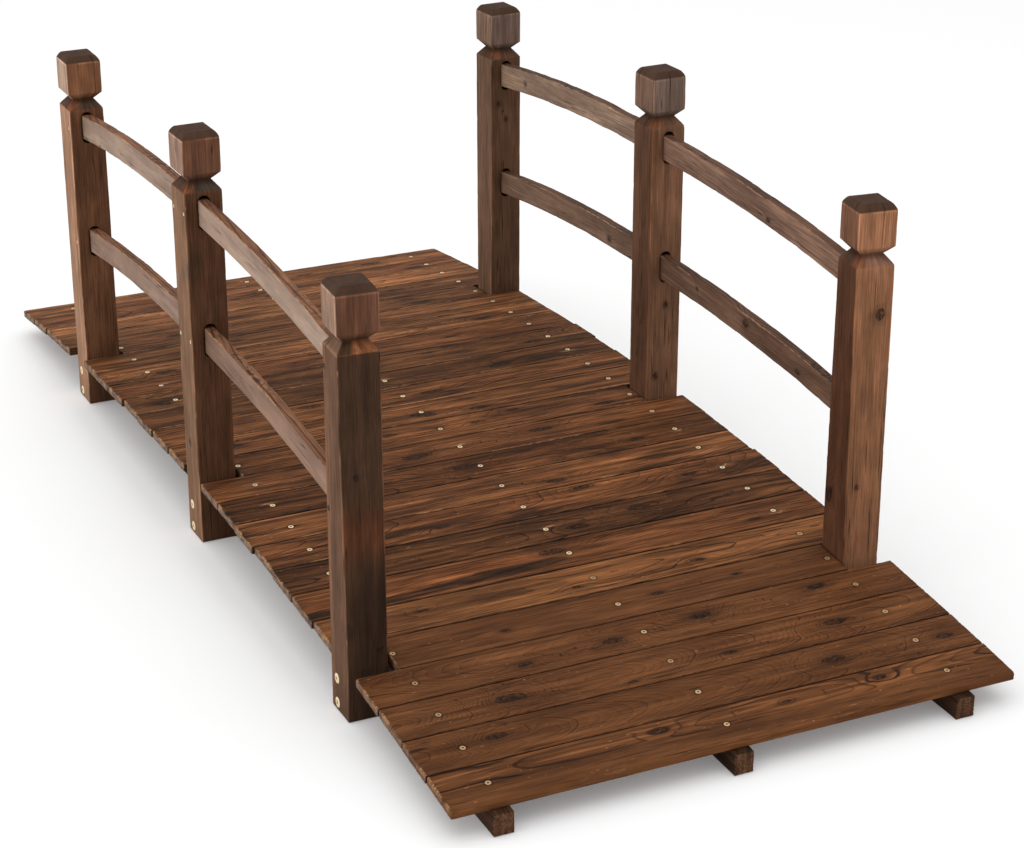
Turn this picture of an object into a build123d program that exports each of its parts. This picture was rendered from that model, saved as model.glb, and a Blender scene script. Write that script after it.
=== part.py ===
from build123d import *
import math
import os

# Small arched garden footbridge in stained softwood.
# X runs along the walkway, +X is the front end, -Y is the left railing,
# +Y is the right railing, Z is up, and the ground is Z = 0.
# The origin is on the ground under the middle of the bridge.

# ---- driving dimensions, millimetres ----
PLANK_COUNT = 25          # deck planks, front to back
PLANK_PITCH = 60.0        # spacing along the arch
PLANK_WIDTH = 58.8        # leaves a 1.2 mm gap between planks
PLANK_LENGTH = 646.0      # across the bridge
PLANK_THICK = 10.0
PLANK_EASE = 0.8          # eased long edges on the upper face
SHORT_LENGTH = 543.0      # planks that end between a pair of posts
SHORT_SHIFT = 2.5         # the short planks sit a little to the right
SHORT_PLANKS = (5, 13, 21)
DECK_RADIUS = 6042.0      # arch of the walking surface
DECK_CROWN = 81.0         # walking surface over the ground at mid span
SHIFT_FRONT = 7.0         # planks wander sideways, to the right at the front
SHIFT_BACK = -7.0         # and to the left at the back

STRINGER_WIDTH = 22.0
STRINGER_Y = 264.0        # outer beams, centre to centre line
STRINGER_HALF = 756.0     # half length on the ground

POST_SIZE = 45.5          # square section
POST_X = 472.05           # end posts from mid span
POST_Y = 297.75           # posts from the centre line
POST_MIDDLE_TOP = 504.0
POST_END_TOP = 477.0
HEAD_CHAMFER_Z = 7.6      # sloped top of the head
HEAD_CHAMFER_XY = 6.2
HEAD_FACE = 40.9          # straight part of the head
NECK_UPPER = 9.5          # slope under the head
NECK_LOWER = 11.5         # slope of the shoulder
NECK_DEPTH = 9.6          # depth of the groove round the neck

RAIL_RADIUS = 4000.0      # arch through the rail ends, crown over mid span
RAIL_UPPER_CROWN = 409.5  # centre line over the ground
RAIL_LOWER_CROWN = 254.8
RAIL_BOW = 1.8            # each rail is bowed up this much more at its own middle
RAIL_HEIGHT = 31.5
RAIL_THICK = 12.5
MORTISE_DEPTH = 17.0      # blind slot, the rail end seats on its floor
MORTISE_HEIGHT = 41.0
MORTISE_WIDTH = 15.0      # round ended

SCREW_HEAD_RADIUS = 5.8   # two large screws hold each post to its beam
SCREW_HEAD_PROUD = 1.4
SCREW_HEIGHTS = (10.0, 38.5)
SCREW_OFFSET = -7.0       # from the middle of the post, along X

os.makedirs("parts", exist_ok=True)


def save(shape, name):
    shape.label = name
    export_step(shape, os.path.join("parts", name + ".step"))


def prism_xz(points, y0, y1):
    """Solid from an outline in X and Z, running from y0 to y1."""
    face = make_face(Polyline(*[(x, y0, z) for x, z in points], close=True))
    return extrude(face, amount=y1 - y0, dir=(0, 1, 0))


def prism_yz(points, x0, x1):
    """Solid from an outline in Y and Z, running from x0 to x1."""
    face = make_face(Polyline(*[(x0, y, z) for y, z in points], close=True))
    return extrude(face, amount=x1 - x0, dir=(1, 0, 0))


def box(x0, x1, y0, y1, z0, z1):
    return Pos((x0 + x1) / 2, (y0 + y1) / 2, (z0 + z1) / 2) * Box(x1 - x0, y1 - y0, z1 - z0)


# ---- deck planks, each flat and tangent to the arch ----
def plank_shift(i):
    """Sideways shift of full planks: right at the front, left at the back."""
    t = (i - 1) / (PLANK_COUNT - 1)
    wander = 1.6 * math.sin(2.3 * i) * math.sin(math.pi * t)
    return SHIFT_FRONT * (1 - t) + SHIFT_BACK * t + wander


for i in range(1, PLANK_COUNT + 1):
    theta = (13 - i) * PLANK_PITCH / DECK_RADIUS
    short = i in SHORT_PLANKS
    length = SHORT_LENGTH if short else PLANK_LENGTH
    shift = SHORT_SHIFT if short else plank_shift(i)
    w, t, e = PLANK_WIDTH / 2, PLANK_THICK, PLANK_EASE
    outline = [(-w, -t), (w, -t), (w, -e), (w - e, 0), (-w + e, 0), (-w, -e)]
    plank = prism_xz(outline, -length / 2, length / 2)
    x = DECK_RADIUS * math.sin(theta)
    z = DECK_CROWN - DECK_RADIUS * (1 - math.cos(theta))
    plank = Pos(x, shift, z) * Rot(0, math.degrees(theta), 0) * plank
    save(plank, "deck_plank_%02d" % i)

# ---- stringers: flat underneath, arched on top, with a seat for each plank ----
seat_radius = DECK_RADIUS - PLANK_THICK
half_step = 0.5 * PLANK_PITCH / DECK_RADIUS
vertex_radius = seat_radius / math.cos(half_step)
centre_z = DECK_CROWN - DECK_RADIUS
top = []
for k in range(PLANK_COUNT - 1):
    a = (k - (PLANK_COUNT - 2) / 2) * PLANK_PITCH / DECK_RADIUS
    top.append((vertex_radius * math.sin(a), centre_z + vertex_radius * math.cos(a)))
end_tilt = 12 * PLANK_PITCH / DECK_RADIUS
end_z = top[-1][1] - (STRINGER_HALF - top[-1][0]) * math.tan(end_tilt)
profile = [(-STRINGER_HALF, 0.0), (-STRINGER_HALF, end_z)] + top + [(STRINGER_HALF, end_z), (STRINGER_HALF, 0.0)]
for name, y in (("left", -STRINGER_Y), ("centre", 0.0), ("right", STRINGER_Y)):
    beam = prism_xz(profile, y - STRINGER_WIDTH / 2, y + STRINGER_WIDTH / 2)
    save(beam, "stringer_" + name)


# ---- rails: one arched bar from the middle post to each end post ----
RAIL_X0 = POST_SIZE / 2 - MORTISE_DEPTH            # seat in the middle post
RAIL_X1 = POST_X - POST_SIZE / 2 + MORTISE_DEPTH   # seat in the end post


def rail_circle(crown):
    """Centre and radius of the centre line of a front rail."""
    def arch(x):
        return crown - RAIL_RADIUS + math.sqrt(RAIL_RADIUS ** 2 - x ** 2)

    xm = (RAIL_X0 + RAIL_X1) / 2
    x1, z1, x2, z2, x3, z3 = RAIL_X0, arch(RAIL_X0), xm, arch(xm) + RAIL_BOW, RAIL_X1, arch(RAIL_X1)
    d = 2 * (x1 * (z2 - z3) + x2 * (z3 - z1) + x3 * (z1 - z2))
    q1, q2, q3 = x1 ** 2 + z1 ** 2, x2 ** 2 + z2 ** 2, x3 ** 2 + z3 ** 2
    xc = (q1 * (z2 - z3) + q2 * (z3 - z1) + q3 * (z1 - z2)) / d
    zc = (q1 * (x3 - x2) + q2 * (x1 - x3) + q3 * (x2 - x1)) / d
    return xc, zc, math.hypot(x1 - xc, z1 - zc)


def rail_centre(crown, x):
    """Height of the rail's centre line at x, front or back."""
    xc, zc, radius = rail_circle(crown)
    return zc + math.sqrt(radius ** 2 - (abs(x) - xc) ** 2)


def rail_solid(crown, y):
    """Rail of the front half, from seat to seat."""
    xc, zc, radius = rail_circle(crown)
    xm = (RAIL_X0 + RAIL_X1) / 2
    outer, inner = radius + RAIL_HEIGHT / 2, radius - RAIL_HEIGHT / 2

    def p(rad, x):
        return (x, y - RAIL_THICK / 2, zc + math.sqrt(rad ** 2 - (x - xc) ** 2))

    edge = [
        ThreePointArc(p(outer, RAIL_X0), p(outer, xm), p(outer, RAIL_X1)),
        Line(p(outer, RAIL_X1), p(inner, RAIL_X1)),
        ThreePointArc(p(inner, RAIL_X1), p(inner, xm), p(inner, RAIL_X0)),
        Line(p(inner, RAIL_X0), p(outer, RAIL_X0)),
    ]
    face = make_face(edge)
    return extrude(face, amount=RAIL_THICK, dir=(0, 1, 0))


for side, y in (("left", -POST_Y), ("right", POST_Y)):
    for level, crown in (("upper", RAIL_UPPER_CROWN), ("lower", RAIL_LOWER_CROWN)):
        front = rail_solid(crown, y)
        save(front, "%s_rail_front_%s" % (level, side))
        back = mirror(rail_solid(crown, y), about=Plane.YZ)
        save(back, "%s_rail_back_%s" % (level, side))


# ---- posts: square shaft, grooved neck, chamfered head, slots for the rails ----
def post_outline(top_z):
    s = POST_SIZE / 2
    z_face = top_z - HEAD_CHAMFER_Z
    z_under = z_face - HEAD_FACE
    z_neck = z_under - NECK_UPPER
    z_shoulder = z_neck - NECK_LOWER
    right = [(s, 0.0), (s, z_shoulder), (s - NECK_DEPTH, z_neck), (s, z_under), (s, z_face), (s - HEAD_CHAMFER_XY, top_z)]
    return right + [(-a, z) for a, z in reversed(right)]


def mortise(x_open, inward, y, z):
    """Round-ended upright slot from the face at x_open, cut inward (+1 or -1 along X)."""
    r = MORTISE_WIDTH / 2
    straight = MORTISE_HEIGHT / 2 - r
    x0, x1 = sorted((x_open - inward * 1.0, x_open + inward * MORTISE_DEPTH))
    slot = box(x0, x1, y - r, y + r, z - straight, z + straight)
    for dz in (-straight, straight):
        bar = Pos((x0 + x1) / 2, y, z + dz) * Rot(0, 90, 0) * Cylinder(r, x1 - x0)
        slot = slot + bar
    return slot


for side, y in (("left", -POST_Y), ("right", POST_Y)):
    for place, x in (("front", POST_X), ("middle", 0.0), ("back", -POST_X)):
        top_z = POST_MIDDLE_TOP if place == "middle" else POST_END_TOP
        outline = post_outline(top_z)
        s = POST_SIZE / 2
        along = prism_xz([(x + a, z) for a, z in outline], y - s, y + s)
        across = prism_yz([(y + a, z) for a, z in outline], x - s, x + s)
        post = along & across
        for crown in (RAIL_UPPER_CROWN, RAIL_LOWER_CROWN):
            if place in ("middle", "front"):
                face_x, inward = (s, -1) if place == "middle" else (x - s, 1)
                mid_x = face_x + inward * MORTISE_DEPTH / 2
                post = post - mortise(face_x, inward, y, rail_centre(crown, mid_x))
            if place in ("middle", "back"):
                face_x, inward = (-s, 1) if place == "middle" else (x + s, -1)
                mid_x = face_x + inward * MORTISE_DEPTH / 2
                post = post - mortise(face_x, inward, y, rail_centre(crown, mid_x))
        save(post, "post_%s_%s" % (place, side))


# ---- heads of the large screws that hold the posts to the outer beams ----
for side, sign in (("left", -1), ("right", 1)):
    face_y = sign * (POST_Y + POST_SIZE / 2)
    heads = []
    for x in (POST_X, 0.0, -POST_X):
        for z in SCREW_HEIGHTS:
            head = Cylinder(SCREW_HEAD_RADIUS, SCREW_HEAD_PROUD)
            head = Pos(x + SCREW_OFFSET, face_y + sign * SCREW_HEAD_PROUD / 2, z) * Rot(90, 0, 0) * head
            heads.append(head)
    save(Compound(children=heads), "post_screws_" + side)
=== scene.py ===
import bpy
import math
import numpy as np
from mathutils import Matrix, Vector


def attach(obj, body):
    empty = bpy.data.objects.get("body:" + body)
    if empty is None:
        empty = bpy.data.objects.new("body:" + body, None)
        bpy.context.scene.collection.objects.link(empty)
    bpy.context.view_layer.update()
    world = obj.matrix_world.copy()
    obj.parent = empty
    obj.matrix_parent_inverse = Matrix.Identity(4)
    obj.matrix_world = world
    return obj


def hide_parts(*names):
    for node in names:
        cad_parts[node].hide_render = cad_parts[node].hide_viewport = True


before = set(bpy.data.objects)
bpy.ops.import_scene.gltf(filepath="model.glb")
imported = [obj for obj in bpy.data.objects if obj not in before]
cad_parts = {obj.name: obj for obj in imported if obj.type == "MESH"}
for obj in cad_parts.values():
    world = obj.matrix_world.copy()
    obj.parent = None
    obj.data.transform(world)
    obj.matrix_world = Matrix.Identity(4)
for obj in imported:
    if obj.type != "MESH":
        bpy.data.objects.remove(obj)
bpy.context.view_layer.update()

MM = 0.001

# ---------------------------------------------------------------- sizes, mm
PITCH, PLANKS, PLANK_W, PLANK_T = 60.0, 25, 58.8, 10.0
PLANK_L, SHORT_L, SHORT_SHIFT = 646.0, 543.0, 2.5
SHORT = (5, 13, 21)
R_DECK, CROWN = 6042.0, 81.0
BEAM_W, BEAM_Y, BEAM_HALF = 22.0, 264.0, 756.0
POST, POST_X, POST_Y = 45.5, 472.05, 297.75
TOP_MID, TOP_END = 504.0, 477.0
CH_Z, CH_XY, HEAD, NECK_UP, NECK_LO, NECK_D = 7.6, 6.2, 40.9, 9.5, 11.5, 9.6
R_RAIL, UPPER, LOWER, RAIL_H, RAIL_T, RAIL_BOW = 4000.0, 409.5, 254.8, 31.5, 12.5, 1.8
SLOT_D, SLOT_H, SLOT_W = 17.0, 41.0, 15.0


# ---------------------------------------------------------------- smooth noise
class Noise:
    """Seeded value noise in two dimensions, about -1 to 1."""

    def __init__(self, seed):
        self.t = np.random.RandomState(seed).rand(256, 256) * 2 - 1

    def at(self, x, y):
        x, y = np.broadcast_arrays(np.asarray(x, float), np.asarray(y, float))
        i, j = np.floor(x).astype(int), np.floor(y).astype(int)
        u, v = x - i, y - j
        u, v = u * u * u * (u * (6 * u - 15) + 10), v * v * v * (v * (6 * v - 15) + 10)
        i0, i1, j0, j1 = i % 256, (i + 1) % 256, j % 256, (j + 1) % 256
        t = self.t
        return (t[i0, j0] * (1 - u) + t[i1, j0] * u) * (1 - v) + (t[i0, j1] * (1 - u) + t[i1, j1] * u) * v

    def fbm(self, x, y, octaves=3, gain=0.5):
        total, amp, norm = 0.0, 1.0, 0.0
        for k in range(octaves):
            total = total + amp * self.at(np.asarray(x) * 2 ** k + 17.3 * k, np.asarray(y) * 2 ** k + 5.1 * k)
            norm += amp
            amp *= gain
        return total / norm


def smooth(e0, e1, x):
    t = np.clip((x - e0) / (e1 - e0), 0, 1)
    return t * t * (3 - 2 * t)


# ---------------------------------------------------------------- wood field
class Wood:
    """Growth rings of one sawn piece: l along the grain, a across, b through, in mm."""

    stretch = 1.0
    fray = 1.0

    def __init__(self, seed, width, length, pith=None, spacing=None, knots=(), tilt=None, wild=1.0):
        r = np.random.RandomState(seed)
        self.noise = Noise(seed + 7919)
        self.off = r.rand(3) * 40
        if pith is None:
            kind = r.rand()
            if kind < 0.55:
                pith = (r.uniform(-0.45, 0.45) * width, -r.uniform(14, 60))
            else:
                pith = (r.choice((-1, 1)) * r.uniform(0.6, 1.5) * width, -r.uniform(20, 90))
        self.pith = pith
        self.spacing = spacing or r.uniform(3.2, 5.2)
        self.tilt = tilt if tilt is not None else (r.uniform(-0.03, 0.03), r.uniform(-0.05, 0.05))
        self.wild = wild
        self.arch = 0.0
        self.knots = list(knots)
        self.length = length

    def ring(self, l, a, b):
        n, o = self.noise, self.off
        wob = 5.0 * self.wild * n.fbm(l / 170.0 + o[0], 3.3, 2)
        wob2 = 4.0 * self.wild * n.fbm(l / 130.0 + o[1], 9.1, 2) + self.arch * n.fbm(l / 70.0 + o[0], 6.4, 2)
        da = a - self.pith[0] - self.tilt[0] * l - wob
        db = b - self.pith[1] - self.tilt[1] * l - wob2
        rho = np.sqrt(da * da + db * db + 4.0)
        rho = rho + 0.9 * self.wild * self.fray * n.fbm(l / 45.0 + o[2], a / 9.0, 2)
        return rho / self.spacing

    def knot(self, l, a):
        """Place relative to the nearest knot in knot radii, and how many rings it pushes aside."""
        shape = np.shape(l + a)
        best = np.full(shape, 1e9)
        out = np.zeros(shape + (3,))
        out[..., 0] = 60.0
        out[..., 1] = 60.0
        for (kl, ka, kr, ks) in self.knots:
            x, y = (l - kl) / (kr * self.stretch), (a - ka) / kr
            d = np.hypot(x / 3.0, y)
            near = (d < best) & (np.abs(x) < 11) & (np.abs(y) < 8)
            best = np.where(near, d, best)
            for k, v in enumerate((x, y, np.full(shape, ks * kr * 1.7 / self.spacing))):
                out[..., k] = np.where(near, v, out[..., k])
        return out

    def knot_relief(self, l, a):
        mask = np.zeros(np.shape(l + a))
        for (kl, ka, kr, ks) in self.knots:
            mask = np.maximum(mask, 1 - smooth(0.6 * kr, 1.3 * kr, np.hypot((l - kl) / 1.3, a - ka)))
        return mask


# ---------------------------------------------------------------- sections
def rounded_box(w, h, r, nt, ns, rb=None, rf=None):
    """Loop round a rounded rectangle (half sizes w, h): points and outward normals.

    r is the upper left radius, rf the upper right one, rb the lower ones."""
    rb = r if rb is None else rb
    rf = r if rf is None else rf

    def run(n, rl, rr):
        step = np.array([0.0, 0.12, 0.35, 0.65, 1.0])
        inner = np.linspace(-w + rl, w - rr, n - 8)[1:-1]
        a = np.concatenate([-w + step * rl, inner, (w - step * rr)[::-1]])
        rad = np.where(a < 0, rl, rr)
        d = np.clip(np.abs(a) - (w - rad), 0, rad)
        drop = rad - np.sqrt(np.maximum(rad ** 2 - d ** 2, 0))
        na = np.sign(a) * d / rad
        nb = np.sqrt(np.maximum(1 - na ** 2, 0))
        return a, drop, na, nb

    at, dt, nat, nbt = run(nt, r, rf)
    ab, dbm, nab, nbb = run(nt, rb, rb)
    right = np.linspace(h - rf, -h + rb, ns + 2)[1:-1]
    left = np.linspace(h - r, -h + rb, ns + 2)[1:-1]
    a = np.concatenate([at, np.full(ns, w), ab[::-1], np.full(ns, -w)])
    b = np.concatenate([h - dt, right, (-h + dbm)[::-1], left[::-1]])
    na = np.concatenate([nat, np.ones(ns), nab[::-1], -np.ones(ns)])
    nb = np.concatenate([nbt, np.zeros(ns), -nbb[::-1], np.zeros(ns)])
    return a, b, na, nb


def grid_mesh(name, pts, nt, ns, attrs, drop_faces=None, extra=None, cap_pts=None):
    """Closed mesh from sections (m, n, 3) of rounded_box loops, with grid caps. attrs are per vertex (m, n) or (m, n,
    3).

    Returns the mesh."""
    m, n = pts.shape[:2]
    verts = [pts.reshape(-1, 3)]
    vals = {k: [np.asarray(v).reshape(m * n, -1)] for k, v in attrs.items()}
    i = np.arange(m - 1)[:, None] * n
    j = np.arange(n)[None, :]
    k = (j + 1) % n
    quads = np.stack([i + j, i + k, i + n + k, i + n + j], -1).reshape(-1, 4)
    if drop_faces is not None:
        quads = quads[~drop_faces.reshape(-1)]
    faces = [quads]
    count = m * n
    for end in (0, m - 1):
        base = end * n
        top = base + np.arange(nt)
        right = base + nt + np.arange(ns)
        bottom = (base + nt + ns + np.arange(nt))[::-1]
        left = (base + 2 * nt + ns + np.arange(ns))[::-1]
        ids = np.zeros((ns + 2, nt), int)
        ids[0], ids[-1] = top, bottom
        ids[1:-1, 0], ids[1:-1, -1] = left, right
        new = []
        flat = pts.reshape(-1, 3)
        for q in range(1, ns + 1):
            f = q / (ns + 1)
            for c in range(1, nt - 1):
                ids[q, c] = count + len(new)
                new.append((1 - f) * flat[top[c]] + f * flat[bottom[c]])
        if new:
            verts.append(np.array(new))
            for key in vals:
                src = vals[key][0]
                rows = []
                for q in range(1, ns + 1):
                    f = q / (ns + 1)
                    rows.append((1 - f) * src[top[1:-1]] + f * src[bottom[1:-1]])
                vals[key].append(np.concatenate(rows))
            count += len(new)
        cap = np.stack([ids[:-1, :-1], ids[:-1, 1:], ids[1:, 1:], ids[1:, :-1]], -1).reshape(-1, 4)
        faces.append(cap if end else cap[:, ::-1])
    if extra is not None:
        ev, ef, ea = extra
        verts.append(ev)
        faces.append(ef + 0)
        for key in vals:
            vals[key].append(ea[key].reshape(len(ev), -1))
    v = np.concatenate(verts) * MM
    f = np.concatenate(faces)[:, ::-1]
    me = bpy.data.meshes.new(name)
    me.vertices.add(len(v))
    me.vertices.foreach_set("co", v.astype(np.float32).ravel())
    me.loops.add(f.size)
    me.loops.foreach_set("vertex_index", f.astype(np.int32).ravel())
    me.polygons.add(len(f))
    me.polygons.foreach_set("loop_start", (np.arange(len(f)) * 4).astype(np.int32))
    me.polygons.foreach_set("use_smooth", np.ones(len(f), bool))
    me.update(calc_edges=True)
    for key, parts in vals.items():
        data = np.concatenate(parts).astype(np.float32)
        if data.shape[1] == 1:
            at = me.attributes.new(key, "FLOAT", "POINT")
            at.data.foreach_set("value", data.ravel())
        else:
            at = me.attributes.new(key, "FLOAT_VECTOR", "POINT")
            at.data.foreach_set("vector", data.ravel())
    me.validate(clean_customdata=False)
    return me


def add_object(name, me, mats, node=None):
    ob = bpy.data.objects.new(name, me)
    bpy.context.scene.collection.objects.link(ob)
    for mt in mats if isinstance(mats, (list, tuple)) else [mats]:
        me.materials.append(mt)
    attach(ob, "root")
    if node:
        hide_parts(*(node if isinstance(node, (list, tuple)) else [node]))
    return ob


# ---------------------------------------------------------------- materials
class Nodes:
    """Short hand for building a node tree."""

    def __init__(self, name):
        self.mat = bpy.data.materials.new(name)
        self.mat.use_nodes = True
        self.t = self.mat.node_tree
        self.t.nodes.clear()
        self.out = self.t.nodes.new("ShaderNodeOutputMaterial")
        self.bsdf = self.t.nodes.new("ShaderNodeBsdfPrincipled")
        self.t.links.new(self.bsdf.outputs["BSDF"], self.out.inputs["Surface"])

    def put(self, sock, val):
        if hasattr(val, "is_linked"):
            self.t.links.new(val, sock)
        else:
            sock.default_value = val

    def attr(self, name, vec=False):
        n = self.t.nodes.new("ShaderNodeAttribute")
        n.attribute_name = name
        return n.outputs["Vector" if vec else "Fac"]

    def math(self, op, a, b=0.0, c=None, clamp=False):
        n = self.t.nodes.new("ShaderNodeMath")
        n.operation = op
        n.use_clamp = clamp
        self.put(n.inputs[0], a)
        self.put(n.inputs[1], b)
        if c is not None:
            self.put(n.inputs[2], c)
        return n.outputs[0]

    def vmath(self, op, a, b):
        n = self.t.nodes.new("ShaderNodeVectorMath")
        n.operation = op
        self.put(n.inputs[0], a)
        self.put(n.inputs[1], b)
        return n.outputs[0]

    def noise(self, vec, scale=1.0, detail=2.0, rough=0.5, dist=0.0):
        n = self.t.nodes.new("ShaderNodeTexNoise")
        n.noise_dimensions = "3D"
        self.put(n.inputs["Vector"], vec)
        self.put(n.inputs["Scale"], scale)
        self.put(n.inputs["Detail"], detail)
        self.put(n.inputs["Roughness"], rough)
        self.put(n.inputs["Distortion"], dist)
        return n.outputs["Fac"]

    def ramp(self, fac, stops, mode="LINEAR"):
        n = self.t.nodes.new("ShaderNodeValToRGB")
        n.color_ramp.interpolation = mode
        els = n.color_ramp.elements
        els[0].position, els[0].color = stops[0][0], tuple(stops[0][1]) + (1.0,)
        els[1].position, els[1].color = stops[-1][0], tuple(stops[-1][1]) + (1.0,)
        for p, c in stops[1:-1]:
            e = els.new(p)
            e.color = tuple(c) + (1.0,)
        self.put(n.inputs[0], fac)
        return n.outputs[0]

    def mix(self, fac, a, b, blend="MIX"):
        n = self.t.nodes.new("ShaderNodeMix")
        n.data_type = "RGBA"
        n.blend_type = blend
        n.clamp_factor = True
        self.put(n.inputs[0], fac)
        for sock, val in ((n.inputs[6], a), (n.inputs[7], b)):
            if not hasattr(val, "is_linked") and len(val) == 3:
                val = tuple(val) + (1.0,)
            self.put(sock, val)
        return n.outputs[2]

    def range(self, x, lo, hi, out_lo=0.0, out_hi=1.0, smoothstep=True):
        n = self.t.nodes.new("ShaderNodeMapRange")
        n.interpolation_type = "SMOOTHSTEP" if smoothstep else "LINEAR"
        n.clamp = True
        self.put(n.inputs["Value"], x)
        self.put(n.inputs["From Min"], lo)
        self.put(n.inputs["From Max"], hi)
        self.put(n.inputs["To Min"], out_lo)
        self.put(n.inputs["To Max"], out_hi)
        return n.outputs["Result"]

    def bump(self, height, strength, distance, normal=None):
        n = self.t.nodes.new("ShaderNodeBump")
        n.inputs["Strength"].default_value = strength
        n.inputs["Distance"].default_value = distance
        self.t.links.new(height, n.inputs["Height"])
        if normal is not None:
            self.t.links.new(normal, n.inputs["Normal"])
        return n.outputs["Normal"]


def lin(r, g, b):
    """sRGB 0 to 255 to linear."""
    def f(c):
        c = c / 255.0
        return c / 12.92 if c <= 0.04045 else ((c + 0.055) / 1.055) ** 2.4
    return (f(r), f(g), f(b))


def wood_material(name, early, mid, late, glow, pale, char, line=1.0, fibre=1.0, blotch=1.0, rough=0.72, spec=0.08, bump=1.0, kerfs=False, grain=(13.0, 330.0), streaks=(8.0, 110.0), deck=False):
    """Stained softwood: ring lines from the piece's own ring field, fibres, blotches, scorched and worn patches, and
    the painted shade and painted highlights that come in with them.
    """
    N = Nodes(name)
    ring, g, kco = N.attr("ring"), N.attr("gco", True), N.attr("kco", True)
    wear_and_highlight, char_and_shade, tint, endg = N.attr("wear_and_highlight"), N.attr("char_and_shade"), N.attr("tint", True), N.attr("endg")
    mood = N.attr("mood", True)
    sep = N.t.nodes.new("ShaderNodeSeparateXYZ")
    N.put(sep.inputs[0], mood)
    charred, glowing, lines = sep.outputs[0], sep.outputs[1], sep.outputs[2]
    ks = N.t.nodes.new("ShaderNodeSeparateXYZ")
    N.put(ks.inputs[0], kco)
    kx, ky, kamp = ks.outputs[0], ks.outputs[1], ks.outputs[2]
    # noises drawn out along the grain
    fine = N.noise(N.vmath("MULTIPLY", g, (30.0, 1000.0, 1000.0)), 1.0, 1.0, 0.6)
    med = N.noise(N.vmath("MULTIPLY", g, (grain[0], grain[1], grain[1])), 1.0, 3.0, 0.65)
    band = N.noise(N.vmath("MULTIPLY", g, (streaks[0], streaks[1], streaks[1])), 1.0, 3.0, 0.62)
    cloud = N.noise(N.vmath("MULTIPLY", g, (7.0, 36.0, 36.0)), 1.0, 2.0, 0.6)
    wob = N.noise(N.vmath("MULTIPLY", g, (55.0, 150.0, 150.0)), 1.0, 1.0, 0.5)
    # rings bend round knots
    sq = lambda v, k: N.math("POWER", N.math("DIVIDE", v, k), 2.0)
    kwarp = N.math("MULTIPLY", N.math("SUBTRACT", wob, 0.5), 0.7)
    kyw, kxw = N.math("ADD", ky, kwarp), N.math("ADD", kx, kwarp)
    bend = N.math("MULTIPLY", kamp, N.math("EXPONENT", N.math("MULTIPLY", N.math("ADD", sq(kxw, 3.5), sq(kyw, 2.3)), -1.0)))
    phase = N.math("ADD", N.math("ADD", ring, bend), N.math("MULTIPLY", N.math("SUBTRACT", med, 0.5), 0.11 if deck else 0.24))
    phase = N.math("ADD", phase, N.math("MULTIPLY", N.math("SUBTRACT", wob, 0.5), 0.08 if deck else 0.22))
    saw = N.math("FRACT", phase)
    year = N.math("FLOOR", phase)
    wn = N.t.nodes.new("ShaderNodeTexWhiteNoise")
    wn.noise_dimensions = "1D"
    N.put(wn.inputs["W"], year)
    if deck:
        # a few years left broad dark bands, most left thin lines
        broad = N.math("POWER", wn.outputs["Value"], 2.0)
        wide = N.math("MULTIPLY", N.math("ADD", 1.1, N.math("MULTIPLY", broad, 2.6)), lines)
        wide = N.math("MINIMUM", N.math("MULTIPLY", wide, N.attr("grad")), 0.50)
        latew = N.math("MULTIPLY", N.range(saw, N.math("SUBTRACT", 1.0, wide), N.math("SUBTRACT", 1.0, N.math("MULTIPLY", wide, 0.45))),
                       N.range(saw, 1.0, N.math("SUBTRACT", 1.0, N.math("MULTIPLY", wide, 0.15))))
        latew = N.math("MULTIPLY", latew, N.math("ADD", 0.60, N.math("MULTIPLY", broad, 0.45)))
        latew = N.math("MAXIMUM", latew, N.range(saw, 0.10, 0.95, 0.0, 0.20))
    else:
        year_w = N.range(wn.outputs["Value"], 0.0, 1.0, 0.30, 1.15, False)
        latew = N.math("MULTIPLY", N.range(saw, 0.40, 0.90), N.range(saw, 0.99, 0.93))
        latew = N.math("MULTIPLY", N.math("POWER", latew, 1.9), year_w)
    latew = N.math("MULTIPLY", latew, N.range(cloud, 0.36, 0.58, 0.7 * line, 1.1 * line))
    latew = N.math("MULTIPLY", latew, N.math("MINIMUM", lines, 1.0) if deck else lines, clamp=True)
    early_w = N.range(cloud, 0.62, 0.36, 0.0, 0.85)
    col = N.mix(early_w, mid, early)
    # orange streaks where the stain is thin
    streak = N.noise(N.vmath("MULTIPLY", N.vmath("ADD", g, (3.0, 1.0, 2.0)), (streaks[0] * 0.8, streaks[1] * 1.15, streaks[1] * 1.15)), 1.0, 2.0, 0.6)
    col = N.mix(N.math("MULTIPLY", N.range(streak, 0.51, 0.60 if deck else 0.64), glowing, clamp=True), col, glow)
    col = N.mix(latew, col, late)

    def times(colour, fac):
        c = N.t.nodes.new("ShaderNodeCombineXYZ")
        for k in range(3):
            N.put(c.inputs[k], fac)
        return N.mix(1.0, colour, c.outputs[0], "MULTIPLY")

    shade = N.math("MULTIPLY", N.range(fine, 0.28, 0.72, 1.0 - 0.30 * fibre, 1.0 + 0.28 * fibre, False),
                   N.range(med, 0.28, 0.72, 1.0 - 0.30 * fibre, 1.0 + 0.28 * fibre, False))
    shade = N.math("MULTIPLY", shade, N.range(cloud, 0.3, 0.7, 1.0 + 0.16 * blotch, 1.0 - 0.16 * blotch, False))
    if deck:
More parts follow.
